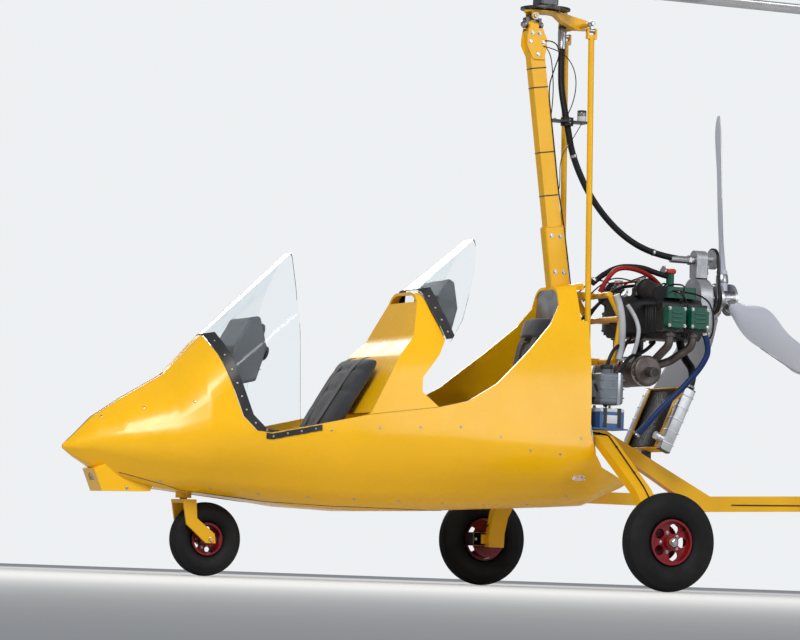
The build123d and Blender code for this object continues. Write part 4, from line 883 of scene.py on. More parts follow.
upper_arc = [math.radians(d) for d in (-20, 20, 60, 100, 140, 180, 200)]
lower_arc = [math.radians(d) for d in (-140, -100, -60, -20)]
upper_ring = circle((GEARBOX_FACE_X, 0, PROP_Z), 0.069, upper_arc, AFT)
lower_ring = circle((GEARBOX_FACE_X, 0, CRANK_Z), 0.064, lower_arc, AFT)
bolts("gearbox_bolts", upper_ring + lower_ring, 0.006)
boxes("crankcase_ribs", "engine", [((x, 0, 1.2375), (0.006, 0.12, 0.006)) for x in (0.49, 0.53, 0.65, 0.69)])
filler = Vector((0.6, -0.062, 1.345))
turned(
    "filler_cap", "red_plastic",
    [(0.0, -0.002), (0.021, -0.002), (0.0225, 0.0), (0.0225, 0.014), (0.02, 0.018), (0.0, 0.019)],
    filler, UP, sides=24,
)
boxes("filler_cap_grips", "red_plastic", [
    (spot, (0.004, 0.004, 0.013)) for spot, _ in circle(filler + UP * 0.008, 0.0228, around(12), UP)
], bevel=0.001, segments=1)
for n, x in enumerate((0.545, 0.575, 0.605)):
    turned(f"lead_boot_{n}", "hose", [(0.006, -0.002), (0.0075, 0.0), (0.006, 0.012), (0.0, 0.013)],
           (x, -0.0425, 1.275), (0, -1, 0.2), sides=14)
bolts("ignition_box_screws", [((x, y, 1.2865), UP) for x in (0.54, 0.665) for y in (-0.036, 0.036)], 0.004)

# Hoses and cables that the photo shows round the engine

HOSES = (
    ("breather_hose", "hose", 0.012, (
        (0.214, -0.092, 1.276), (0.3, -0.09, 1.352), (0.44, -0.09, 1.362), (0.53, -0.07, 1.34),
        (0.5826, -0.062, 1.332),
    )),
    ("coolant_left", "blue_hose", 0.0125, (
        (0.66, -0.26, 1.09), (0.69, -0.262, 1.03), (0.672, -0.25, 0.96), (0.6, -0.215, 0.86),
        (0.5, -0.19, 0.76), (0.44, -0.165, 0.68), (0.41, -0.15, 0.645),
    )),
    ("top_hose_front", "red_hose", 0.01, (
        (0.232, -0.13, 1.24), (0.265, -0.155, 1.325), (0.34, -0.14, 1.352), (0.44, -0.125, 1.338),
        (0.52, -0.1, 1.302), (0.56, -0.08, 1.27),
    )),
    ("overflow_hose", "white_hose", 0.015, (
        (0.285, -0.1784, 1.23), (0.34, -0.1784, 1.119), (0.305, -0.1784, 0.96),
    )),
    ("radiator_hose", "hose", 0.017, (
        (0.668, -0.04, 1.0617), (0.668, -0.06, 1.0), (0.6834, -0.161, 0.9244), (0.6536, -0.161, 0.8562),
    )),
    ("mount_hose", "white_hose", 0.009, (
        (0.34, -0.178, 1.19), (0.395, -0.19, 1.12), (0.385, -0.186, 1.02), (0.36, -0.18, 0.95),
    )),
    ("oil_line", "hose", 0.008, (
        (0.24, -0.2, 0.925), (0.252, -0.205, 0.985), (0.32, -0.17, 1.03), (0.43, -0.12, 1.045),
        (0.47, -0.09, 1.075),
    )),
    ("oil_return", "hose", 0.008, (
        (0.27, -0.235, 0.9), (0.3, -0.24, 0.94), (0.352, -0.2, 0.98), (0.46, -0.12, 1.0), (0.54, -0.05, 1.05),
    )),
    ("vacuum_line", "hose", 0.004, (
        (0.44, -0.1, 1.3), (0.5, -0.06, 1.335), (0.52, 0.03, 1.33), (0.46, 0.09, 1.3),
    )),
    ("throttle_cable_left", "hose", 0.003, (
        (0.19, -0.06, 1.2), (0.27, -0.075, 1.29), (0.36, -0.09, 1.315), (0.43, -0.105, 1.285),
    )),
    ("throttle_cable_right", "hose", 0.003, (
        (0.19, 0.06, 1.2), (0.27, 0.075, 1.29), (0.36, 0.09, 1.315), (0.43, 0.105, 1.285),
    )),
    ("starter_cable", "red_hose", 0.0055, (
        (0.25, -0.18, 0.76), (0.3, -0.15, 0.82), (0.36, -0.1, 0.99), (0.42, -0.05, 1.06), (0.47, -0.04, 1.08),
    )),
    ("earth_cable", "hose", 0.0055, (
        (0.22, -0.23, 0.76), (0.19, -0.25, 0.8), (0.17, -0.22, 0.86), (0.15, -0.14, 0.9),
    )),
    ("loom_a", "hose", 0.0065, (
        (0.165, -0.03, 1.1), (0.24, -0.04, 1.16), (0.33, -0.05, 1.26), (0.45, -0.05, 1.29),
        (0.54, -0.045, 1.28),
    )),
    ("loom_b", "hose", 0.005, (
        (0.165, 0.05, 1.05), (0.26, 0.07, 1.1), (0.36, 0.1, 1.23), (0.46, 0.12, 1.28),
    )),
)
laid = {name: tube(name, mat, route, radius, sides=14) for name, mat, radius, route in HOSES}
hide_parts("coolant_hoses")
clamps("hose_clamps", [
    ((0.663, -0.26, 1.083), (0.15, 0, -1), 0.013), ((0.417, -0.153, 0.652), (-0.6, 0.3, -0.75), 0.013),
    ((0.223, -0.093, 1.291), (0.5, 0, 0.86), 0.013), ((0.563, -0.067, 1.3535), (0.95, 0.2, -0.2), 0.013),
    ((0.309, -0.206, 1.233), (0.7, 0, -0.5), 0.0135), ((0.32, -0.201, 0.95), (-0.3, 0, -0.9), 0.0135),
])

# Exhaust: port flanges, bands and rivets of the silencer, tail pipe

SILENCER = Vector((0.416, 0, 0.917))
TAIL_PIPE = Vector((0.416, -0.2925, 0.907))
TAIL_PIPE_AXIS = (0, -1, -0.1)

for n, x in enumerate(CYLINDER_XS):
    for side, _ in SIDES:
        turned(
            f"port_flange_{n}_{side + 1}", "pipe",
            [(0.018, -0.004), (0.027, -0.004), (0.0275, 0.0), (0.0265, 0.007), (0.018, 0.007)],
            (x, side * 0.233, 1.074), DOWN,
        )
for n, y in enumerate((-0.215, -0.04, 0.135)):
    turned(
        f"silencer_band_{n}", "bright",
        [(0.06, -0.008), (0.0652, -0.008), (0.0656, -0.006), (0.0656, 0.006), (0.0652, 0.008), (0.06, 0.008)],
        SILENCER + Vector((0, y, 0)), (0, 1, 0), sides=56,
    )
silencer_end = SILENCER + Vector((0, -0.225, 0))
rivets("silencer_rivets", [
    (spot, spot - silencer_end) for spot, _ in circle(silencer_end, 0.065, around(14), (0, 1, 0))
], 0.003)
bm = bmesh.new()
lip = [(0.0165, -0.012), (0.0218, -0.012), (0.0225, -0.004), (0.0218, 0.003), (0.0165, 0.003)]
add_turned(bm, lip, at(TAIL_PIPE, TAIL_PIPE_AXIS), 36, True)
place(bm, "tail_pipe_lip", "pipe")
# A black disc in the pipe's mouth: soot, and painted shade for the depth of the bore
turned("tail_pipe_bore", "inner", [(0.0, -0.002), (0.0164, -0.002), (0.0164, 0.0008), (0.0, 0.0008)],
       TAIL_PIPE, TAIL_PIPE_AXIS, sides=36)

# Radiator: core of fins and tubes, side tanks, cap, neck and frame

CORE = Matrix.Translation((0.595, 0.0, 0.722)) @ Matrix.Rotation(math.atan2(0.11, 0.252), 4, "Y")
CORE_HEIGHT, CORE_WIDTH = 0.256, 0.266
FINS, TUBES = 44, 15
TANK_Y = 0.161


def core_box(spot, size):
    """A box in the leaning frame of the radiator's core."""
    return ORIGIN, size, CORE @ Matrix.Translation(spot)


boxes("radiator_fins", "steel", [
    core_box((0, 0, CORE_HEIGHT * ((k + 0.5) / FINS - 0.5)), (0.0385, 0.286, 0.0016)) for k in range(FINS)
], bevel=0)
boxes("radiator_tubes", "black_metal", [
    core_box((0, CORE_WIDTH * (k / (TUBES - 1) - 0.5), 0), (0.0375, 0.003, 0.262)) for k in range(TUBES)
], bevel=0)
for side, label in SIDES:
    tank_y = side * TANK_Y
    boxes("radiator_tank_" + label, "foil", [core_box((0, tank_y, 0), (0.054, 0.0375, 0.288))], bevel=0.008)
    boxes("radiator_tank_ribs_" + label, "foil", [
        core_box((0, tank_y, h), (0.0575, 0.041, 0.005)) for h in (-0.11, -0.055, 0.0, 0.055, 0.11)
    ], bevel=0.0018)
turned("radiator_cap", "bright", [
    (0.012, -0.012), (0.012, 0.0), (0.021, 0.001), (0.0215, 0.007), (0.019, 0.01), (0.008, 0.012),
    (0, 0.012),
], CORE @ Vector((0, -TANK_Y, 0.15)), CORE.to_3x3() @ UP)
turned(
    "radiator_neck", "foil",
    [(0.016, -0.03), (0.0165, 0.0), (0.0185, 0.003), (0.0165, 0.006), (0.0165, 0.02), (0.0, 0.02)],
    CORE @ Vector((-0.045, -TANK_Y, -0.1)), CORE.to_3x3() @ FORE,
)
boxes("radiator_frame", "frame", [
    core_box((-0.026, y, 0), (0.005, 0.022, 0.27)) for y in (-0.133, 0.133)
] + [
    core_box((-0.006, 0, h), (0.042, 0.3, 0.005)) for h in (0.1405, -0.1405)
] + [
    core_box((-0.022, -0.15, h), (0.014, 0.05, 0.024)) for h in (0.1, -0.1)
], bevel=0.0015)

# Oil tank and battery

TANK_AND_BATTERY_Y = -0.208

boxes("tank_ribs", "tank", [
    ((0.234, TANK_AND_BATTERY_Y, z), (0.1105, 0.1245, 0.006)) for z in (0.795, 0.832, 0.869)
], bevel=0.0028)
boxes("tank_strap", "bright", [((0.262, TANK_AND_BATTERY_Y, 0.832), (0.014, 0.1265, 0.1345))], bevel=0.001)
turned(
    "tank_cap", "inner",
    [(0.0, -0.001), (0.0245, -0.001), (0.026, 0.002), (0.026, 0.014), (0.023, 0.017), (0.0, 0.018)],
    (0.234, TANK_AND_BATTERY_Y, 0.9165), UP, sides=30,
)
boxes("battery_lid", "pale", [((0.236, TANK_AND_BATTERY_Y, 0.742), (0.1125, 0.1185, 0.016))], bevel=0.003)
boxes("battery_label", "pale", [((0.236, -0.2675, 0.705), (0.085, 0.0012, 0.034))], bevel=0.0004)
boxes("battery_straps", "belt", [
    ((x, TANK_AND_BATTERY_Y, 0.712), (0.018, 0.1215, 0.0795)) for x in (0.203, 0.269)
], bevel=0.001)
for n, x in enumerate((0.2, 0.272)):
    turned(
        f"battery_post_{n}", "bright",
        [(0.009, 0.0), (0.009, 0.006), (0.006, 0.007), (0.0055, 0.015), (0.0, 0.0155)],
        (x, -0.175, 0.7495), UP, sides=20,
    )

# Mast: ties, weld, bolts and wires. Its slope is in metres forward per metre of height

MAST_SEAM_Z = 1.508
MAST_FOOT = (0.095, 1.3)
MAST_SLOPE = 0.1473
MAST_LEAN = Matrix.Rotation(-math.atan(MAST_SLOPE), 4, "Y")


def mast_x(z):
    return MAST_FOOT[0] - MAST_SLOPE * (z - MAST_FOOT[1])


def mast_band(x, z, depth, width, height, thick):
    """A band round the mast's rectangular tube, of four thin plates."""
    middle = Matrix.Translation((x, 0, z)) @ MAST_LEAN
    sides = [(-1, 0), (1, 0), (0, -1), (0, 1)]
    return [(
        ORIGIN, (thick, width + 2 * thick, height) if sx else (depth, thick, height),
        middle @ Matrix.Translation((sx * (depth + thick) / 2, sy * (width + thick) / 2, 0)),
    ) for sx, sy in sides]


ties = []
for z in (1.64, 1.82, 2.09, 2.17):
    ties += mast_band(mast_x(z), z, 0.067, 0.0488, 0.0045, 0.0012)
boxes("mast_ties", "belt", ties, bevel=0.0004, segments=1)
weld = mast_band(mast_x(MAST_SEAM_Z), MAST_SEAM_Z + 0.002, 0.068, 0.05, 0.006, 0.004)
boxes("mast_weld", "frame", weld, bevel=0.0004, segments=1)
MAST_BOLTS = (
    (0.0282, ((1.32, -0.02), (1.32, 0.02), (1.47, -0.02), (1.47, 0.02))),
    (0.0302, ((2.226, 0.0), (2.277, -0.03), (2.277, 0.03), (2.314, -0.016), (2.314, 0.016))),
)
bolts("mast_bolts", [
    ((mast_x(z) + offset, side * y, z), (0, side, 0))
    for side, _ in SIDES for y, spots in MAST_BOLTS for z, offset in spots
], 0.007)
WIRES = (
    (0.0028, (
        (-0.012, -0.0305, 2.285), (0.03, -0.038, 2.29), (0.06, -0.034, 2.24), (0.035, -0.032, 2.17),
        (0.012, -0.026, 2.09), (0.032, -0.026, 1.96), (0.053, -0.026, 1.82), (0.079, -0.026, 1.64),
        (0.115, -0.026, 1.48), (0.15, -0.026, 1.25),
    )),
    (0.0022, (
        (-0.012, 0.0305, 2.285), (0.045, 0.036, 2.27), (0.06, 0.026, 2.15), (0.058, 0.016, 2.05),
        (0.044, 0.012, 1.93), (0.052, 0.012, 1.82), (0.079, 0.012, 1.64), (0.115, 0.012, 1.48),
        (0.15, 0.012, 1.25),
    )),
    (0.0018, (
        (0.188, -0.012, 1.962), (0.165, -0.02, 1.93), (0.125, -0.03, 1.87), (0.08, -0.02, 1.8),
        (0.09, -0.012, 1.68), (0.079, -0.006, 1.64), (0.115, -0.004, 1.48), (0.15, -0.004, 1.25),
    )),
    (0.0022, (
        (-0.02, -0.0305, 2.262), (0.05, -0.045, 2.25), (0.11, -0.05, 2.2), (0.135, -0.05, 2.12),
        (0.12, -0.045, 2.02), (0.1, -0.03, 1.975),
    )),
)
for n, (radius, route) in enumerate(WIRES):
    tube(f"mast_wire_{n}", "hose", route, radius)

# Rotor head

ROLL_Z, PITCH_Z, CROSS_Z, PLATE_TOP_Z = 2.352, 2.387, 2.362, 2.4122
GEAR_TOP_Z, TEETER_Z = 2.4272, 2.538
TOWER_Y = 0.0434
STARTER_X, STARTER_Y = 0.113, 0.06

bolts("roll_nuts", [((-0.0965, 0, ROLL_Z), FORE), ((-0.0235, 0, ROLL_Z), AFT)], 0.0135, "gimbal")
bolts("pitch_nuts", both_sides(-0.06, 0.0322, PITCH_Z), 0.0105, "rotor_head")
bolts("cross_pin_nuts", both_sides(0.16, 0.1262, CROSS_Z), 0.011, "rotor_head")
PLATE_BOLTS = ((-0.078, 0.018), (-0.078, -0.018), (0.062, -0.016), (0.088, 0.05), (0.12, 0.036))
bolts("head_plate_bolts", [((x, y, PLATE_TOP_Z), UP) for x, y in PLATE_BOLTS], 0.0048, "rotor_head")
turned("starter_sleeve", "bright", [
    (0.0168, -0.0424), (0.0182, -0.0415), (0.0182, -0.02), (0.0176, -0.018), (0.0176, 0.012),
    (0.0182, 0.014), (0.0182, 0.034), (0.0176, 0.0395), (0.0168, 0.0395),
], (STARTER_X, STARTER_Y, 2.312), UP, "rotor_head", 30)
boxes("pinion_teeth", "bright", [
    (spot, (0.004, 0.0035, 0.0145), Matrix.Rotation(a, 4, "Z"))
    for a in around(14) for spot, _ in circle((STARTER_X, STARTER_Y, 2.42), 0.0185, [a], UP)
], "rotor_head", 0.0008, 1)
turned(
    "starter_motor", "steel",
    [(0.0, 0.0), (0.0168, 0.0), (0.0175, 0.003), (0.0175, 0.016), (0.0155, 0.02), (0.0, 0.02)],
    (STARTER_X, STARTER_Y, ROLL_Z), UP, "rotor_head", 30,
)
turned(
    "grease_nipple", "bright", [(0.004, 0.0), (0.004, 0.005), (0.0028, 0.007), (0.0034, 0.01), (0.0, 0.012)],
    (-0.02, -0.0355, 2.408), (0, -1, 0), "rotor_head", 12,
)
bolts("teeter_nuts", both_sides(0, TOWER_Y, TEETER_Z), 0.0145, "rotor_hub")
bolts("tower_bolts", [
    ((x, side * TOWER_Y, TEETER_Z - 0.048), (0, side, 0)) for side, _ in SIDES for x in (-0.018, 0.018)
], 0.007, "rotor_hub")
bolts("ring_gear_bolts", circle((0, 0, GEAR_TOP_Z), 0.046, around(6, math.pi / 6), UP), 0.0045, "rotor_hub")

# Rotor: bolts of the hub bar, doublers, rivets, balance tabs and tip caps

bar_bolts, doublers, pins = [], [], []
for side, _ in SIDES:
    for k, x in enumerate((0.413, 0.437, 0.461, 0.485, 0.509, 0.529)):
        y = 0.013 * (1 if k % 2 else -1)
        bar_bolts += [((side * x, y, TEETER_Z + 0.0202), UP), ((side * x, y, TEETER_Z - 0.0202), DOWN)]
    bar_bolts += [((side * 0.075, y, TEETER_Z + 0.0272), UP) for y in (-0.014, 0.014)]
    for up in (-1, 1):
        doublers.append(((side * 0.665, side * 0.004, TEETER_Z + up * 0.0115), (0.17, 0.082, 0.003)))
        pins += [
            ((side * (0.595 + 0.0235 * k), side * y, TEETER_Z + up * 0.013), (0, 0, up))
            for k in range(7) for y in (-0.022, 0.03)
        ]
bolts("hub_bar_bolts", bar_bolts, 0.0065, "rotor", "steel")
boxes("blade_doublers", "alu", doublers, "rotor", 0.001)
rivets("blade_rivets", pins, 0.0035, "rotor")
boxes("blade_balance_tabs", "rotor_blade", [
    ((side * 3.1, side * 0.168, TEETER_Z), (0.34, 0.022, 0.0016)) for side, _ in SIDES
], "rotor", 0.0004)
boxes("blade_tip_caps", "inner", [
    ((side * 4.266, side * 0.046, TEETER_Z), (0.006, 0.196, 0.016)) for side, _ in SIDES
], "rotor", 0.0015)

# Propeller: ferrules, edge guards, clamp bolts, pulley and starter drive

PROP_X = 0.891
FIRST_BLADE = math.radians(-6)
GUARD_STATIONS = ((0.43, 0.138, 22), (0.64, 0.112, 17), (0.775, 0.074, 14), (0.796, 0.04, 13))
for k, angle in enumerate(around(3, FIRST_BLADE)):
    spin = Matrix.Translation((PROP_X, 0, PROP_Z)) @ Matrix.Rotation(angle, 4, "X")
    bm = bmesh.new()
    add_turned(bm, [
        (0.022, 0.07), (0.0262, 0.071), (0.0268, 0.074), (0.0268, 0.09), (0.0258, 0.093), (0.0258, 0.104),
        (0.0235, 0.108),
    ], spin, 32)
    place(bm, f"blade_ferrule_{k}", "bright", "propeller")
    edge = []
    for radius, chord, pitch in GUARD_STATIONS:
        turn = math.radians(pitch)
        edge.append(spin @ Vector((-0.395 * chord * math.sin(turn), -0.395 * chord * math.cos(turn), radius)))
    tube(f"blade_edge_guard_{k}", "foil", edge, 0.0022, "propeller")
bolts("blade_clamp_bolts", circle((0.9302, 0, PROP_Z), 0.052, around(6), AFT), 0.0075, "propeller")
turned(
    "hub_centre", "bright",
    [(0.03, -0.001), (0.03, 0.003), (0.024, 0.005), (0.014, 0.0055), (0.013, 0.011), (0.0, 0.0115)],
    (0.93, 0, PROP_Z), AFT, "propeller", 40,
)
grooves = [(0.0545 + (0.0012 if k % 2 else 0), -0.004 + k * 0.001) for k in range(9)]
turned("pulley_ribs", "black_metal", [(0.0545, -0.0045)] + grooves + [(0.0545, 0.0045)],
       (0.838, 0, PROP_Z), AFT, "propeller", 60)
DRIVE_BOLTS = (
    (0.8475, 0, 1.421), (0.8002, 0.022, 1.385), (0.8002, -0.022, 1.385), (0.8002, 0.02, 1.36),
    (0.8002, -0.02, 1.36),
)
bolts("drive_bolts", [(spot, AFT) for spot in DRIVE_BOLTS], 0.0065)

# Flexible shaft in three parts: a fixed part on the airframe, and the stretches by the gimbal and by the
# head, which ride on no body

DRIVE_Z = 1.412
FLEX_ROUTE = (
    (0.7438, 0, DRIVE_Z), (0.62, 0, DRIVE_Z), (0.43, 0, 1.468), (0.262, 0, 1.612), (0.152, 0, 1.8),
    (0.118, 0, 1.957), (0.098, 0.02, 2.086), (0.113, 0.06, 2.18), (0.113, 0.06, 2.2697),
)
FLEX_RING = (
    (0.0138, -0.006), (0.0146, -0.006), (0.015, -0.004), (0.015, 0.004), (0.0146, 0.006), (0.0138, 0.006),
)
LEAN_START, LEAN_END, FOLLOW_END = 1.975, 2.09, 2.24
flex_line = path_points(FLEX_ROUTE, 620)


def flex_part(name, low, high, body):
    return sweep(name, "hose", flex_line[low:high], 0.0135, body, wave=0.0004)


split_a = next(i for i, p in enumerate(flex_line) if p.z > LEAN_START)
split_b = next(i for i, p in enumerate(flex_line) if p.z > LEAN_END)
flex_fixed = flex_part("flex_shaft_fixed", 0, split_a + 1, "airframe")
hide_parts("flex_shaft")
flex_lean = flex_part("flex_shaft_lean", split_a, split_b + 1, None)
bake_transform(flex_lean)
flex_follow = flex_part("flex_shaft_follow", split_b, None, None)
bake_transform(flex_follow)
turned("flex_end_sleeve", "bright", [
    (0.0142, 0.0), (0.0172, 0.001), (0.0176, 0.004), (0.0176, 0.02), (0.0162, 0.023), (0.0162, 0.108),
    (0.015, 0.112), (0.0138, 0.112),
], (0.7435, 0, DRIVE_Z), FORE)
turned("flex_end_nut", "bright", [(0.0155, 0.0), (0.0205, 0.001), (0.0205, 0.013), (0.0155, 0.014)],
       (0.7285, 0, DRIVE_Z), FORE, sides=6)
for n, share in enumerate((0.16, 0.62)):
    i = int(share * len(flex_line))
    turned(f"flex_ring_{n}", "bright", FLEX_RING, flex_line[i], flex_line[i + 2] - flex_line[i - 2], sides=30)
STROBE_X = 0.188
turned("strobe_body", "pale", [(0.0, 0.0), (0.0194, 0.0), (0.0198, 0.002), (0.0198, 0.022), (0.0, 0.022)],
       (STROBE_X, 0, 1.9615), UP, sides=36)
turned("strobe_dome", "lens", [
    (0.0, 0.0), (0.0195, 0.0), (0.0195, 0.016), (0.0178, 0.024), (0.0125, 0.0285), (0.005, 0.0298),
    (0.0, 0.03),
], (STROBE_X, 0, 1.982), UP, sides=36)
bracket_tops = [((0.05, y, 1.9612), UP) for y in (-0.022, 0.022)]
bolts("bracket_bolts", bracket_tops + both_sides(0.119, 0.0272, 1.957), 0.006)

# Starter belt round the two pulleys, each given by its height and radius

BELT_TOP, BELT_LOW = (1.421, 0.0482), (PROP_Z, 0.0722)
BELT_FRONT_X, BELT_REAR_X = 0.8325, 0.8435
BELT_SECTION = (
    (BELT_FRONT_X, -0.0066), (BELT_FRONT_X, 0.0004), (BELT_REAR_X, 0.0004), (BELT_REAR_X, -0.0066),
)
wrap = math.asin((BELT_LOW[1] - BELT_TOP[1]) / (BELT_TOP[0] - BELT_LOW[0]))
bm = bmesh.new()
rings = []
for (z, r), start, end in ((BELT_TOP, wrap, math.pi - wrap), (BELT_LOW, math.pi - wrap, math.tau + wrap)):
    for k in range(41):
        a = start + (end - start) * k / 40
        rings.append([
            bm.verts.new((x, math.cos(a) * (r + d), z + math.sin(a) * (r + d))) for x, d in BELT_SECTION
        ])
skin(bm, rings, closed=True)
place(bm, "starter_belt", "hose", smooth=50)

# Hull: screws, seams and the strip along the front cockpit's edge

HULL_SCREWS = (
    (-1.93, 0.62), (-1.78, 0.66), (-1.6, 0.69), (-1.42, 0.66), (-1.24, 0.63), (-1.05, 0.6), (-0.84, 0.62),
    (-0.66, 0.63), (-0.48, 0.64), (-0.3, 0.61), (-0.16, 0.56), (-0.02, 0.55), (0.08, 0.62),
    (-1.7, 0.37), (-1.5, 0.35), (-1.3, 0.335), (-1.1, 0.33), (-0.9, 0.33), (-0.7, 0.33), (-0.5, 0.33),
    (-0.3, 0.33), (-0.1, 0.34), (0.06, 0.38),
)
HULL_SEAM = ((-1.86, 0.4), (-1.5, 0.315), (-1.0, 0.3), (-0.5, 0.3), (0.08, 0.33))
SCREEN_STRIPS = (
    ((-1.49, 0.972), (-1.444, 0.797), (-1.394, 0.64), (-1.34, 0.589), (-1.3, 0.586)),
    ((-0.566, 1.2), (-0.538, 1.102), (-0.504, 1.004)),
)
SCREW_PITCH = 0.055


def between(one, two, share):
    return [a + (b - a) * share for a, b in zip(one, two)]


def from_side(side, x, z, start_y=1.2):
    """A level ray from the side at x and z."""
    return (x, side * start_y, z), (0, -side, 0)


def shell_point(x, z, side):
    """Where a level ray from the side meets the body skin at x and z."""
    return cast_on("fuselage_left" if side < 0 else "fuselage_right", *from_side(side, x, z))


def shell_points(spots, side):
    found = [shell_point(x, z, side) for x, z in spots]
    return [hit for hit in found if hit]


for side, label in SIDES:
    rivets("hull_screws_" + label, shell_points(HULL_SCREWS, side), 0.0055, height=0.28)
    seam = [between(one, two, k / 14) for one, two in zip(HULL_SEAM, HULL_SEAM[1:]) for k in range(14)]
    sweep("hull_seam_" + label, "inner", [spot for spot, _ in shell_points(seam, side)], 0.0016, sides=8)

ridge = []
for k in range(26):
    ray = (-2.16 + 0.5 * k / 25, -0.004, 1.4), DOWN
    hit = cast_on("fuselage_left", *ray) or cast_on("nose_tip", *ray)
    if hit:
        ridge.append(Vector((hit[0].x, 0.0, hit[0].z)))
sweep("nose_ridge_seam", "inner", ridge, 0.0014, sides=8)

strip_rays = []
for side, _ in SIDES:
    for line in SCREEN_STRIPS:
        for one, two in zip(line, line[1:]):
            count = max(1, round(math.dist(one, two) / SCREW_PITCH))
            strip_rays += [from_side(side, *between(one, two, (k + 0.5) / count)) for k in range(count)]
rivets("strip_screws", cast_all("screen_strips", strip_rays, 1.3), 0.0042, height=0.35)

# In the photo the screen's black strip runs on along the edge of the front cockpit
EDGE_START, EDGE_LENGTH, EDGE_STEPS = -1.322, 0.232, 16
EDGE_SECTION = ((0.002, -0.0005), (0.002, 0.003), (0.025, 0.003), (0.025, -0.0005))
for side, label in SIDES:
    bm = bmesh.new()
    rows, spots = [], []
    for k in range(EDGE_STEPS + 1):
        x = EDGE_START + EDGE_LENGTH * k / EDGE_STEPS
        z = 0.9
        while z > 0.55 and not shell_point(x, z, side):
            z -= 0.002
        row = []
        for drop, lift in EDGE_SECTION:
            point, normal = shell_point(x, z - drop, side)
            row.append(bm.verts.new(point + normal * lift))
        rows.append(row)
        if k % 4 == 2:
            spots.append((point.lerp(row[1].co, 0.5) + normal * 0.0015, normal))
    skin(bm, rows)
    place(bm, "cockpit_strip_" + label, "strip")
    rivets("cockpit_strip_screws_" + label, spots, 0.0042, height=0.35)

bolts("chin_screws", cast_all("chin_housing", [
    from_side(side, x, z, 0.6) for side, _ in SIDES for x, z in ((-1.93, 0.43), (-1.82, 0.34), (-1.7, 0.3))
]), 0.0045)
rivets("firewall_screws", cast_all("firewall", [
    ((0.6, 0.17 * math.cos(a), 0.62 + 0.2 * math.sin(a)), FORE) for a in around(26)
]), 0.0045, mat="steel", height=0.35)

# Landing gear: leg bolts, caliper covers, brake lines and axle nuts

CALIPER_X, CALIPER_SIZE_X, CALIPER_SIZE_Z = 0.1325, 0.0572, 0.0582
for side, label in SIDES:
    leg = "gear_leg_" + label
    bolts("leg_bolts_" + label, cast_all(leg, [((0.19, side * y, -0.1), UP) for y in (0.06, 0.1)]))
    boxes("brake_caliper_" + label, "engine", [
        ((CALIPER_X, side * 0.7555, MAIN_AXLE.z), (CALIPER_SIZE_X, 0.041, CALIPER_SIZE_Z)),
        ((CALIPER_X, side * 0.7978, MAIN_AXLE.z), (CALIPER_SIZE_X, 0.0074, CALIPER_SIZE_Z)),
        ((0.1105, side * 0.7785, MAIN_AXLE.z), (0.0124, 0.046, CALIPER_SIZE_Z)),
    ])
    bolts("caliper_bolts_" + label, [
        ((CALIPER_X + dx, side * 0.7352, MAIN_AXLE.z), (0, -side, 0)) for dx in (-0.016, 0.016)
    ], 0.0045)
    brake = [Vector((0.132, side * 0.735, 0.222)), Vector((0.135, side * 0.715, 0.24))]
    leg_top = cast_all(leg, [((0.195, side * (0.72 - 0.6 * k / 15), 1.0), DOWN) for k in range(16)])
    brake += [spot + Vector((0.018, 0, 0.004)) for spot, _ in leg_top]
    tube("brake_line_" + label, "hose", brake, 0.0032)
    bm = bmesh.new()
    tie = [(0.0045, -0.002), (0.0052, -0.002), (0.0052, 0.002), (0.0045, 0.002)]
    for spot in brake[3::4]:
        add_turned(bm, tie, at(spot, (0, side, 0.4)), 14, True)
    place(bm, "brake_ties_" + label, "belt")
bolts("nose_axle_nuts", both_sides(NOSE_AXLE.x, 0.0625, NOSE_AXLE.z), 0.0115, "steering")

# Tail: hinge screws, panel screws, horn, trim tab and lamp

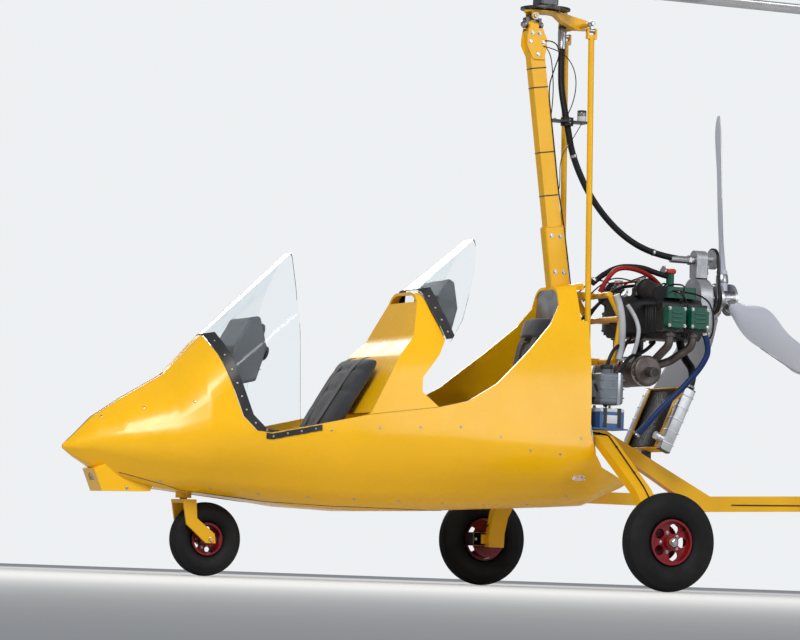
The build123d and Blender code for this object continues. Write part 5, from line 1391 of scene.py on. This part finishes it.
HINGE_XS, HINGE_ZS = ((2.068, 2.092), (2.128, 2.15)), (0.62, 1.18)
STABILISER_ROW = [1.62 + 0.09 * k for k in range(9)]
for (node, body), xs in zip((("fin", "airframe"), ("rudder", "rudder")), HINGE_XS):
    rays = [from_side(side, x, z, 0.252) for z in HINGE_ZS for side, _ in SIDES for x in xs]
    rivets(node + "_hinge_screws", cast_all(node, rays, 0.4), 0.0042, body)
rivets("fin_screws", cast_all("fin", [
    from_side(side, 1.95, z, 0.5)
    for side, _ in SIDES for z in (0.66, 0.74, 0.82, 0.9, 0.98, 1.06, 1.14, 1.22)
], 0.6), 0.0035)
rivets("stabiliser_screws", cast_all("stabiliser", [
    ((x, side * 0.4, z), direction)
    for side, _ in SIDES for x in STABILISER_ROW for z, direction in ((1.4, DOWN), (-0.4, UP))
], 1.6), 0.0035)
bolts("end_plate_bolts", cast_all("stabiliser", [
    from_side(side, x, 0.425 + 0.04 * (x - 0.849), 0.8)
    for side, _ in SIDES for x in (2.18, 2.26, 2.34, 2.42, 2.5)
], 0.8), 0.0055)
HORN_X, HORN_Z = 2.134, 0.53
boxes("rudder_horn", "black_metal", [((HORN_X, 0, HORN_Z), (0.03, 0.14, 0.005))], "rudder", 0.001)
bolts("rudder_horn_bolts", [
    ((HORN_X, side * 0.06, HORN_Z + 0.0028), UP) for side, _ in SIDES
], 0.0045, "rudder")
# The tab leans with the rudder's rear edge, 192 mm over 840
TAB_Z, TAB_LEAN = 0.86, -math.atan2(192, 840)
tab_root = cast_on("rudder", (2.6, 0.0002, TAB_Z), FORE)[0].x
boxes("trim_tab", "frame", [
    ((tab_root + 0.02, 0, TAB_Z), (0.05, 0.0016, 0.16), Matrix.Rotation(TAB_LEAN, 4, "Y")),
], "rudder", 0.0005)
WIRE_Y, LAMP_Z = -0.0262, 0.44
tube("tail_lamp_wire", "hose", [
    (2.52, -0.026, 0.45), (2.3, WIRE_Y, 0.43), (2.0, WIRE_Y, 0.415), (1.6, WIRE_Y, 0.4),
    (1.2, WIRE_Y, 0.385), (0.95, WIRE_Y, 0.378),
], 0.0025)
turned("tail_lamp_base", "inner", [(0.0, 0.0), (0.017, 0.0), (0.017, 0.006), (0.0, 0.006)],
       (2.5602, 0, LAMP_Z), AFT, sides=28)
turned(
    "tail_lamp", "red_lens",
    [(0.0, 0.0), (0.0145, 0.0), (0.0145, 0.006), (0.011, 0.012), (0.004, 0.0145), (0.0, 0.0148)],
    (2.5664, 0, LAMP_Z), AFT, sides=28,
)
